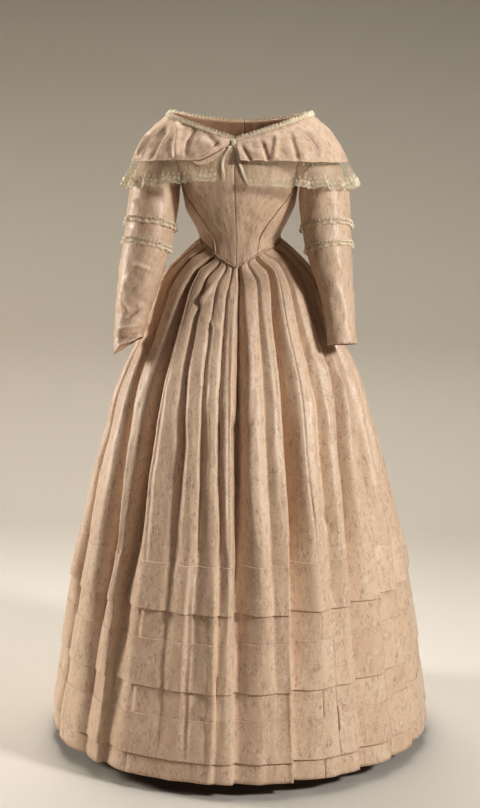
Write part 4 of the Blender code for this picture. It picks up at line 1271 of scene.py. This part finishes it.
def bodice_row(side: int, start: float, end: float, level: float, columns: int) -> list[np.ndarray]:
    """One row of a bodice piece below the armhole."""
    row = []
    for angle in np.linspace(start, end, columns + 1):
        row.append(body_point(side * angle, level + waist_drop(angle, level)))
    return row


def armhole_row(side: int, start: float, level: float, columns: int, back: bool) -> list[np.ndarray]:
    """One row of a front or back piece, from the centre to the armhole seam."""
    edge = armhole_point(side, armhole_angle(level) * (1.0 if back else -1.0))
    depth = smooth_value(BODY, level, 3 if back else 2)
    width = smooth_value(BODY, level, 1)
    half = math.degrees(math.atan2(abs(edge[0]) / width, abs(edge[1]) / depth))
    end = 180.0 - half if back else half
    miss = edge - body_point(side * end, level)
    row = []
    for column in range(columns + 1):
        share = column / columns
        row.append(body_point(side * (start + (end - start) * share), level) + miss * share * share)
    return row


def neck_row(side: int, start: float, end: float, columns: int) -> list[np.ndarray]:
    """The top row of a bodice piece, just inside the bertha's neck edge."""
    return [neck_point(side * angle, -NECK_INSET, -0.001) for angle in np.linspace(start, end, columns + 1)]


class Bodice:
    """The fitted bodice: eight pieces, the dropped shoulders, covered cords and stitched seams."""

    LEVELS = (0.0, 0.022, 0.045, 0.068, 0.090, 0.108)
    ARMHOLE_LEVELS = (0.128, 0.150, 0.173, 0.195)
    COLUMNS = 8
    FINE = 40
    CREASES = creases_of(
        (3.5, -1.6, 14, 66, 60, 46),
        (3.5, 1.4, 18, 52, 52, 30),
        (3.5, -1.6, 10, 38, 40, 14),
        (2.5, 1.2, -45, 41, -20, 17),
        (2.5, -1, -57, 99, -26, 84),
        (2.5, 1, 54, 100, 22, 80),
        (2.5, -1, -18, 80, -44, 58),
        (1.2, -1.2, -81, 114, -71, 86, -51, 49, -47, 0),
        (1.2, -1.2, 79, 114, 54, 82, 41, 51, 36, 13),
    )

    def seam_angle(self, level: float, back: bool) -> float:
        """The angle of a curved seam at a height."""
        return smooth_value(CURVED_SEAMS, level, 2 if back else 1)

    def finished(self, name: str, rows: Sequence[Sequence[np.ndarray]], fine: int) -> Cloth:
        """Read the rows finely and add the piece's creases."""
        grid = np.array(rows)
        grid = resample(resample(grid, 0, int(fine * 1.3)), 1, fine)
        cloth = Cloth(name, grid, from_axis(grid))
        relief = 0.0012 * ripples(grid, (0.035, 0.035, 0.05), 31, True)
        relief += 0.0005 * ripples(grid, (0.014, 0.014, 0.02), 32)
        edge = np.minimum(np.arange(fine), np.arange(fine)[::-1]) / fine
        relief = relief - 0.0007 * np.exp(-((edge / 0.012) ** 2))[None, :]
        cloth.raise_by(relief + crease_field(grid, self.CREASES))
        return cloth

    def main(self, name: str, side: int, back: bool) -> Sheet:
        """A front or back piece."""
        centre = 180.0 if back else 0.0
        rows = [
            bodice_row(side, centre, self.seam_angle(level, back), level, self.COLUMNS)
            for level in self.LEVELS
        ]
        rows += [armhole_row(side, centre, level, self.COLUMNS, back) for level in self.ARMHOLE_LEVELS]
        rows.append(neck_row(side, centre, STRAP_NECK[1] if back else STRAP_NECK[0], self.COLUMNS))
        node = f"bodice_{'back' if back else 'front'}_{name}"
        size = (0.15, 0.27) if back else (0.17, 0.29)
        cloth = self.finished(node + "_silk", rows, self.FINE)
        return Sheet(cloth, SILK_SLOT, [node], size, "stretched", area=round(size[0] * size[1] * PIECE_FILL, 4))

    def flank(self, name: str, side: int, back: bool) -> Sheet:
        """A side piece."""
        rows = [
            bodice_row(side, self.seam_angle(level, back), SIDE_SEAM, level, self.COLUMNS)
            for level in self.LEVELS
        ]
        low = armhole_angle(self.ARMHOLE_LEVELS[0]) * (1.0 if back else -1.0)
        under = 176.0 if back else -176.0
        rows.append([armhole_point(side, angle) for angle in np.linspace(low, under, self.COLUMNS + 1)])
        node = f"bodice_side_{'back' if back else 'front'}_{name}"
        cloth = self.finished(node + "_silk", rows, self.FINE // 2)
        size = (0.11, 0.14)
        return Sheet(cloth, SILK_SLOT, [node], size, "stretched", area=round(size[0] * size[1] * PIECE_FILL, 4))

    def strap(self, name: str, side: int) -> Sheet:
        """The dropped shoulder, from the neck edge down to the top of the armhole."""
        upper = neck_row(side, *STRAP_NECK, 10)
        lower = [armhole_point(side, angle) for angle in np.linspace(-65.0, 65.0, 11)]
        lift = np.array((side * 0.002, 0.0, 0.002))
        middle = [blend(top, low, 0.5) + lift for top, low in zip(upper, lower)]
        cloth = self.finished(f"shoulder_strap_{name}_silk", (lower, middle, upper), self.FINE // 2)
        node = f"shoulder_strap_{name}"
        return Sheet(cloth, SILK_SLOT, [node], (0.15, 0.07), "stretched", area=0.007)

    def cord(self, name: str, side: int) -> Tube:
        """The covered cord on a curved front seam."""
        route = []
        for level in np.linspace(0.004, 0.108, 40):
            angle = self.seam_angle(level, False)
            route.append(body_point(side * angle, level + waist_drop(angle, level), 0.0012))
        return Tube(f"seam_piping_{name}_cord", [f"seam_piping_{name}"], np.array(route), 0.0011, False)

    def waist(self) -> Tube:
        """The covered cord round the waist."""
        angles = np.linspace(0.0, 360.0, 240, endpoint=False)
        held = [angle if angle <= 180.0 else angle - 360.0 for angle in angles]
        route = np.array([body_point(angle, waist_height(angle) + 0.0016, 0.0016) for angle in held])
        return Tube("waist_piping_cord", ["waist_piping"], route, 0.0013, True)

    def seam_stitches(self) -> list[Piece]:
        """Fine stitches beside the centre front seam and along the front darts."""
        made: list[Piece] = []
        lines = {"centre": [(0.9, level) for level in np.linspace(0.006, 0.150, 40)]}
        for name, side in SIDES:
            lines[f"dart_{name}"] = [
                (side * (16.0 + 16.0 * ease((level - 0.01) / 0.085)), level) for level in np.linspace(0.006, 0.105, 40)
            ]
        for index, (name, places) in enumerate(lines.items()):
            edge, away = [], []
            for angle, level in places:
                height = level + waist_drop(angle, level)
                edge.append(body_point(angle, height, 0.0004))
                away.append(body_point(angle, height, 0.02) - body_point(angle, height))
            spots = spots_along(np.array(edge), np.array(away), 0.0036, 200 + index, 0.05)
            made.append(Scatter(f"bodice_stitches_{name}", SILK_SLOT, [], stitch_mesh, spots, "thread"))
        return made

    def pieces(self) -> list[Piece]:
        """Everything of the bodice."""
        made: list[Piece] = [self.waist()]
        for name, side in SIDES:
            made += [self.main(name, side, False), self.main(name, side, True)]
            made += [self.flank(name, side, False), self.flank(name, side, True)]
            made += [self.strap(name, side), self.cord(name, side)]
        return made + self.seam_stitches()


class Bertha:
    """The bertha with its net flounce, the narrow lace at the neck and the ribbon."""

    CREASES = creases_of(
        (8, -9, -136, 239, -153, 214, -167, 183, -170, 163),
        (7, 7, -118, 250, -114, 219, -116, 171),
        (6, -6, -81, 236, -95, 208, -99, 176),
        (6, -3, -59, 227, -27, 196),
        (3.5, 3.5, -13, 210, -37, 195, -62, 179),
        (4, -3, -25, 210, -53, 196, -77, 180),
        (4, -4, 13, 204, 28, 184, 39, 164),
        (5, -5, 54, 212, 63, 193, 72, 168),
        (6, 5, 87, 225, 84, 197, 80, 172),
        (6, -5, 110, 230, 121, 200, 130, 167),
        (8, 5, 142, 241, 165, 208, 182, 171),
        (7, -5, 160, 232, 192, 203, 208, 174),
        (6, 5, -178, 222, -195, 196, -208, 172),
    )

    def silk(self, name: str, side: int) -> Sheet:
        """One half of the bertha."""
        rows = []
        columns = 50
        for share in np.linspace(0.0, 1.0, 9):
            start = 0.25 + (1.0 * share if side > 0 else 0.3 * share)
            angles = [side * (start + (180.0 - start) * place) for place in np.linspace(0.0, 1.0, columns) ** 1.1]
            rows.append([bertha_point(angle, share) for angle in angles])
        grid = np.array(rows)
        grid = resample(resample(grid, 0, 44), 1, 260)
        cloth = Cloth(f"bertha_{name}_silk", grid, from_axis(grid))
        share = np.linspace(0.0, 1.0, grid.shape[0])[:, None]
        relief = 0.0018 * share * ripples(grid, (0.05, 0.05, 0.07), 61, True)
        relief += 0.0008 * ripples(grid, (0.020, 0.020, 0.03), 62, True)
        relief -= 0.0008 * np.exp(-(((share - 0.02) / 0.012) ** 2))
        relief += 0.0010 * np.exp(-(((share - 0.985) / 0.02) ** 2))
        cloth.raise_by(relief + crease_field(grid, self.CREASES))
        return Sheet(cloth, SILK_SLOT, [f"bertha_{name}"], (0.62, 0.115), "gathered", area=0.050)

    def flounce_grid(self, side: int) -> np.ndarray:
        """The net flounce's points, from its top down."""
        angles = [side * angle for angle in np.linspace(FLOUNCE_STARTS[side], 180.0, 420)]
        return np.array([[flounce_point(angle, share) for angle in angles] for share in (0.0, 0.35, 0.7, 1.0)])

    def flounce(self, name: str, side: int) -> list[Piece]:
        """One half of the net flounce with its scalloped border."""
        grid = resample(self.flounce_grid(side), 0, 10)
        cloth = Cloth(f"bertha_lace_{name}_net", grid, from_axis(grid))
        length = length_of(grid[-1])
        size = (round(length, 2), 0.05)
        made: list[Piece] = [Sheet(cloth, LACE_SLOT, [f"bertha_lace_{name}"], size, "gathered")]
        normals = normals_of(grid, False, from_axis(grid))
        edge = grid[-1] + normals[-1] * 0.0004
        spots = spots_along(edge, normals[-1], 0.0118, 300 + side, 0.05)
        made.append(Scatter(f"bertha_border_{name}", LACE_SLOT, [], scallop_mesh, spots, "lace"))
        spots = spots_along(grid[-3] + normals[-3] * 0.0005, normals[-3], 0.0118, 310 + side, 0.10, 0.5)
        spots = Spots(spots.places, spots.turns, spots.sizes * 0.85)
        made.append(Scatter(f"bertha_sprigs_{name}", LACE_SLOT, [], sprig_mesh, spots, "lace"))
        spots = spots_along(grid[-2] + normals[-2] * 0.0007, normals[-2], 0.0092, 320 + side, 0.15)
        spots = Spots(spots.places, spots.turns, spots.sizes * 1.2)
        made.append(Scatter(f"bertha_flowers_{name}", LACE_SLOT, [], flower_mesh, spots, "lace"))
        return made

    def neck_lace(self, name: str, side: int) -> list[Piece]:
        """The narrow lace that stands at the neck edge."""
        angles = [side * angle for angle in np.linspace(0.3, 180.0, 300)]
        low = np.array([bertha_point(angle, 0.075, 0.0016) for angle in angles])
        high = np.array([neck_point(angle, 0.0030, 0.0042) for angle in angles])
        stir = ripples(high, (0.020, 0.020, 0.02), 71)[:, None]
        high = high + from_axis(high) * 0.010 * stir + np.array((0.0, 0.0, 0.0014)) * stir
        middle = blend(low, high, 0.5) + from_axis(high) * 0.003
        grid = resample(np.array([low, middle, high]), 0, 6)
        cloth = Cloth(f"neck_lace_{name}_net", grid, from_axis(grid))
        made: list[Piece] = [Sheet(cloth, LACE_SLOT, [f"neck_lace_{name}"], (0.42, 0.012), "gathered")]
        normals = normals_of(grid, False, from_axis(grid))
        spots = spots_along(grid[2] + normals[2] * 0.0008, normals[2], 0.0090, 330 + side, 0.14)
        spots = Spots(spots.places, spots.turns, spots.sizes * 1.25)
        made.append(Scatter(f"neck_flowers_{name}", LACE_SLOT, [], flower_mesh, spots, "lace"))
        spots = spots_along(grid[4] + normals[4] * 0.0008, normals[4], 0.0080, 340 + side, 0.12, 0.5)
        spots = Spots(spots.places, spots.turns, spots.sizes * 0.9)
        made.append(Scatter(f"neck_picots_{name}", LACE_SLOT, [], flower_mesh, spots, "lace"))
        return made

    def turned_end(self) -> Sheet:
        """The end of the right bertha, turned under its diagonal fold."""
        angles = np.linspace(4.5, 15.0, 14)
        falls = ((4.5, 0.10), (8.0, 0.34), (11.5, 0.30), (15.0, 0.06))
        rows = []
        for share in np.linspace(0.0, 1.0, 8):
            row = []
            for angle in angles:
                fall = 0.02 + (smooth_value(falls, angle) - 0.02) * share
                row.append(flounce_point(-angle, fall, 0.0006 + 0.0016 * share))
            rows.append(row)
        grid = np.array(rows)
        cloth = Cloth("bertha_fold_right_silk", grid, from_axis(grid))
        return Sheet(cloth, SILK_SLOT, ["bertha_fold_right"], (0.05, 0.025), "folded", area=0.0006)

    def tail(self, name: str, route: Sequence[tuple[float, float]]) -> Sheet:
        """One hanging end of the ribbon, with a soft twist."""
        rows = []
        for index, (angle, height) in enumerate(route):
            middle = body_point(angle, height, 0.0030)
            turn = math.radians(angle)
            twist = 0.35 * math.sin(index * 1.3)
            across = np.array((math.cos(turn), math.sin(turn) - twist, 0.0))
            across = across / np.linalg.norm(across) * 0.0031
            rows.append([middle - across, middle, middle + across])
        grid = resample(resample(np.array(rows), 0, 40), 1, 7)
        cup = np.array((0.0, -0.0004, 0.0)) * np.sin(np.linspace(0.0, math.pi, 7))[None, :, None]
        cloth = Cloth(f"bow_tail_{name}_ribbon", grid + cup, from_axis(grid))
        return Sheet(cloth, RIBBON_SLOT, [f"bow_tail_{name}"], (0.011, 0.085), "hung", 0.0003, area=0.0006)

    def pieces(self) -> list[Piece]:
        """Everything of the bertha."""
        made: list[Piece] = [self.turned_end(), Knot()]
        for name, side in SIDES:
            made.append(self.silk(name, side))
            made += self.flounce(name, side)
            made += self.neck_lace(name, side)
        right = ((-3.0, 0.2000), (-5.0, 0.192), (-7.4, 0.182), (-9.0, 0.170), (-9.6, 0.158), (-9.4, 0.145), (-9.4, 0.131))
        left = ((0.6, 0.2000), (1.6, 0.192), (2.6, 0.182), (4.0, 0.170), (6.0, 0.158), (9.2, 0.141), (12.8, 0.122))
        return made + [self.tail("right", right), self.tail("left", left)]


class Knot(Piece):
    """The ribbon's knot, drawn together in small folds."""

    def __init__(self) -> None:
        super().__init__("bow_knot_ribbon", RIBBON_SLOT, ["bow_knot"])

    def build(self, finishes: Finishes) -> bpy.types.Object:
        """A pinched bundle of ribbon."""
        centre = np.array((-0.003, -NECK[1] - 0.0099, NECK_HEIGHTS[0] - 0.006))
        rows = []
        for up in np.linspace(-1.0, 1.0, 26):
            around = np.linspace(0.0, 2.0 * math.pi, 40, endpoint=False)
            size = math.sqrt(max(0.0, 1.0 - up * up)) * (1.0 + 0.20 * np.sin(around * 5.0 + up * 4.0)) * (0.72 + 0.28 * up * up)
            row = np.stack([0.0058 * size * np.cos(around), 0.0036 * size * np.sin(around), np.full(40, up * 0.0066)], -1)
            rows.append(row + centre)
        grid = np.array(rows)
        return link(self.name, mesh_of(self.name, grid, True, grid - centre), [finishes.ribbon])


class Sleeves:
    """The long sleeves, their two tiers and the frills at the tiers' edges."""

    HEIGHTS = (-0.203, -0.182, -0.160, -0.115, -0.090, -0.065, -0.030, 0.010, 0.055, 0.100, 0.125, 0.150)
    CREASES = creases_of(
        (4, 8, -240, -174, -215, -164, -188, -158),
        (3.5, -7, -240, -190, -214, -180, -192, -178),
        (3.5, 7, -239, -205, -214, -193, -191, -187),
        (4, -6, -222, -145, -194, -129),
        (4, 6, -232, -112, -211, -134),
        (4, 5, -205, -35, -173, -51),
        (4, -4, -208, 92, -188, 82),
    )

    def outward(self, side: int, grid: np.ndarray) -> np.ndarray:
        """Directions away from the arm's axis."""
        return grid - grid.mean(1, keepdims=True)

    def tube(self, side: int, rows: Sequence[tuple[float, float]]) -> np.ndarray:
        """Rings round the arm at heights, each some way outside the sleeve."""
        angles = [side * angle for angle in np.arange(0.0, 360.0, 12.0)]
        rings = [[sleeve_point(side, height, angle, out) for angle in angles] for height, out in rows]
        return np.array(rings)

    def long(self, name: str, side: int) -> Sheet:
        """The long sleeve, from the cuff up to the armhole."""
        grid = self.tube(side, [(height, 0.0) for height in (*self.HEIGHTS, ARMHOLE_CENTRE[1])])
        longer, slant = CUFFS[side]
        for column in range(grid.shape[1]):
            turn = 2.0 * math.pi * column / grid.shape[1]
            along = grid[0, column] - grid[1, column]
            grid[0, column] += along / np.linalg.norm(along) * (longer + slant * math.cos(turn))
        grid = resample(resample(grid, 0, 120), 1, 72, True)
        cloth = Cloth(f"sleeve_{name}_silk", grid, self.outward(side, grid), True)
        height = grid[..., 2]
        fore = np.clip((0.02 - height) / 0.06, 0.25, 1.0)
        relief = 0.0015 * fore * ripples(grid, (0.05, 0.05, 0.045), 81 + side, True)
        relief += 0.0008 * fore * ripples(grid, (0.020, 0.020, 0.022), 85 + side, True)
        cuff = height - grid[0, :, 2][None, :]
        relief += 0.0006 * np.exp(-((cuff / 0.004) ** 2)) - 0.0008 * np.exp(-(((cuff - 0.011) / 0.002) ** 2))
        cloth.raise_by(relief + crease_field(grid, self.CREASES, 0.2))
        return Sheet(cloth, SILK_SLOT, [f"sleeve_{name}"], (0.34, 0.44), "stretched", area=0.118)

    def tier(self, name: str, side: int, place: str) -> list[Piece]:
        """A short tier over the sleeve and its frill."""
        top, bottom, lift = TIERS[place]
        levels = np.linspace(bottom, top, 8)
        rows = [(float(level), 0.0012 + (lift - 0.0012) * (top - level) / (top - bottom)) for level in levels]
        grid = resample(resample(self.tube(side, rows), 0, 30), 1, 72, True)
        cloth = Cloth(f"sleeve_tier_{place}_{name}_silk", grid, self.outward(side, grid), True)
        share = np.linspace(1.0, 0.0, grid.shape[0])[:, None]
        seed = 400 + 10 * side + len(place)
        relief = 0.0016 * share * ripples(grid, (0.035, 0.035, 0.05), seed, True)
        relief += 0.0007 * ripples(grid, (0.016, 0.016, 0.03), seed + 1, True)
        cloth.raise_by(np.maximum(relief, -0.0006) + 0.6 * crease_field(grid, self.CREASES, 0.2))
        node = f"sleeve_tier_{place}_{name}"
        size = (0.345, round(top - bottom + 0.015, 3))
        made: list[Piece] = [Sheet(cloth, SILK_SLOT, [node], size, "hung", lined=False)]
        angles = [side * angle for angle in np.linspace(0.0, 360.0, 240, endpoint=False)]
        frill_rows = []
        for share in np.linspace(0.0, 1.0, 5):
            row = []
            for angle in angles:
                turn = math.radians(angle)
                wave = math.sin(turn * 19.0 + 1.3 * math.sin(turn * 4.0 + seed))
                wave += 0.4 * math.sin(turn * 31.0 + seed)
                out = lift + 0.0012 + share * (0.0016 + 0.0016 * wave)
                row.append(sleeve_point(side, bottom + 0.0040 - 0.0125 * share + 0.0008 * share * wave, angle, out))
            frill_rows.append(row)
        frill = np.array(frill_rows)
        lace = Cloth(f"sleeve_lace_{place}_{name}_net", frill, self.outward(side, frill), True)
        size = (0.42, 0.014)
        made.append(Sheet(lace, LACE_SLOT, [f"sleeve_lace_{place}_{name}"], size, "gathered"))
        normals = normals_of(frill, True, self.outward(side, frill))
        for row, motif, spacing, scale in ((3, scallop_mesh, 0.0085, 0.62), (1, flower_mesh, 0.0078, 0.85)):
            loop = np.concatenate([frill[row], frill[row][:1]])
            away = np.concatenate([normals[row], normals[row][:1]])
            spots = spots_along(loop + away * 0.0004, away, spacing, seed + row, 0.10)
            spots = Spots(spots.places, spots.turns, spots.sizes * scale)
            kind = "border" if row == 3 else "flowers"
            made.append(Scatter(f"sleeve_{kind}_{place}_{name}", LACE_SLOT, [], motif, spots, "lace"))
        return made

    def pieces(self) -> list[Piece]:
        """Everything of the sleeves."""
        made: list[Piece] = []
        for name, side in SIDES:
            made.append(self.long(name, side))
            for place in TIERS:
                made += self.tier(name, side, place)
        return made


class Studio:
    """The floor and backdrop in one sweep, the lights and the camera."""

    FLOOR = -1.062
    # Name, place, aim, size, power in watts, spread in degrees, colour
    LIGHTS = (
        ("key", (3.1, -1.8, 1.3), (0.0, 0.0, 0.1), 0.6, 122.0, 180.0, (1.0, 0.98, 0.95)),
        ("side", (-3.6, 0.4, 0.5), (0.0, 0.0, -0.2), 0.9, 112.0, 180.0, (1.0, 0.95, 0.88)),
        ("paper", (0.0, 0.5, 3.6), (0.0, 1.9, -0.9), 2.2, 42.0, 100.0, (1.0, 0.98, 0.96)),
        ("floor", (0.6, -3.4, 2.6), (0.6, -2.6, -1.06), 1.6, 15.0, 70.0, (1.0, 0.98, 0.96)),
        ("back", (-0.5, 1.35, 1.5), (0.0, 0.1, -0.4), 1.4, 11.0, 130.0, (1.0, 0.97, 0.94)),
    )
    CAMERA_DISTANCE = 4.0
    CAMERA_HEIGHT = 0.485
    CAMERA_TURN = math.radians(6.0)
    SENSOR = 36.0
    FRAME_PIXELS = 808.0
    FOCAL_PIXELS = 1945.0

    def sweep(self) -> bpy.types.Object:
        """A pale floor that curves up into the backdrop, clear from behind; painted shade in its colour makes it
        lighter on the floor and darker up the backdrop to its top.
        """
        profile = [(-5.0, 0.0), (1.6, 0.0)]
        for step in range(1, 13):
            turn = math.radians(90.0 * step / 12)
            profile.append((1.6 + 0.5 * math.sin(turn), 0.5 * (1.0 - math.cos(turn))))
        profile.append((2.1, 5.5))
        rows = [[(x, y, self.FLOOR + z) for x in (-6.0, 6.0)] for y, z in profile]
        points = np.array(rows)
        mesh = mesh_of("sweep", points, False, np.tile(np.array((0.0, -0.2, 1.0)), (*points.shape[:2], 1)))
        make = Shader("studio_paper")
        along = make.node("ShaderNodeSeparateXYZ", {0: make.cloth(1.0, 1.0)}).outputs["Y"]
        # Painted shade: the paper's colour goes from light on the floor to darker on the backdrop, and darkest at its
        # top.
        lower = make.mix(make.span(along, 5.4, 7.1), (0.66, 0.63, 0.58, 1), (0.46, 0.43, 0.385, 1))
        make.set("Base Color", make.mix(make.span(along, 7.1, 9.1), lower, (0.15, 0.135, 0.108, 1)))
        make.set("Roughness", 0.85)
        behind = make.node("ShaderNodeNewGeometry", {}).outputs["Backfacing"]
        make.set("Alpha", make.math("SUBTRACT", 1.0, behind))
        return link("sweep", mesh, [make.material])

    def light(
        self,
        name: str,
        place: Sequence[float],
        aim: Sequence[float],
        size: float,
        power: float,
        spread: float,
        colour: Sequence[float],
    ) -> None:
        """A soft area light."""
        data = bpy.data.lights.new(name, "AREA")
        data.shape = "DISK"
        data.size = size
        data.energy = power
        data.spread = math.radians(spread)
        data.color = colour
        made = bpy.data.objects.new(name, data)
        made.location = place
        made.rotation_euler = (Vector(aim) - Vector(place)).to_track_quat("-Z", "Y").to_euler()
        bpy.context.scene.collection.objects.link(made)

    def build(self) -> None:
        """Put the studio up round the dress."""
        self.sweep()
        for light in self.LIGHTS:
            self.light(*light)
        world = bpy.data.worlds.new("studio")
        world.use_nodes = True
        tree = world.node_tree
        ambient = tree.nodes["Background"]
        ambient.inputs["Color"].default_value = (1.0, 0.62, 0.40, 1.0)
        ambient.inputs["Strength"].default_value = 0.045
        surround = tree.nodes.new("ShaderNodeBackground")
        surround.inputs["Color"].default_value = (0.24, 0.225, 0.20, 1.0)
        pick = tree.nodes.new("ShaderNodeMixShader")
        tree.links.new(tree.nodes.new("ShaderNodeLightPath").outputs["Is Camera Ray"], pick.inputs[0])
        tree.links.new(ambient.outputs[0], pick.inputs[1])
        tree.links.new(surround.outputs[0], pick.inputs[2])
        tree.links.new(pick.outputs[0], tree.nodes["World Output"].inputs["Surface"])
        bpy.context.scene.world = world
        bpy.context.scene.view_settings.view_transform = "Standard"
        bpy.context.scene.view_settings.look = "High Contrast"
        bpy.context.scene.view_settings.exposure = -0.60
        data = bpy.data.cameras.new("camera")
        data.sensor_fit = "VERTICAL"
        data.sensor_height = self.SENSOR
        data.sensor_width = self.SENSOR
        data.lens = self.FOCAL_PIXELS / self.FRAME_PIXELS * self.SENSOR
        camera = bpy.data.objects.new("camera", data)
        turn, away = self.CAMERA_TURN, self.CAMERA_DISTANCE
        camera.location = (away * math.sin(turn), -away * math.cos(turn), self.CAMERA_HEIGHT)
        tilt = math.atan(self.FRAME_PIXELS / 2.0 / self.FOCAL_PIXELS)
        camera.rotation_euler = (math.pi / 2.0 - tilt, 0.0, turn)
        bpy.context.scene.collection.objects.link(camera)
        bpy.context.scene.camera = camera


def note_size() -> None:
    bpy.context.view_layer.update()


def main() -> None:
    """Build the dress's looks and the studio."""
    logging.basicConfig(level=logging.INFO, format="%(name)s %(message)s")
    note_size()
    finishes = Finishes()
    for part in (Skirt(), Bodice(), Bertha(), Sleeves()):
        for piece in part.pieces():
            piece.place(finishes)
    Studio().build()
    note_size()


if __name__ == "__main__":
    main()
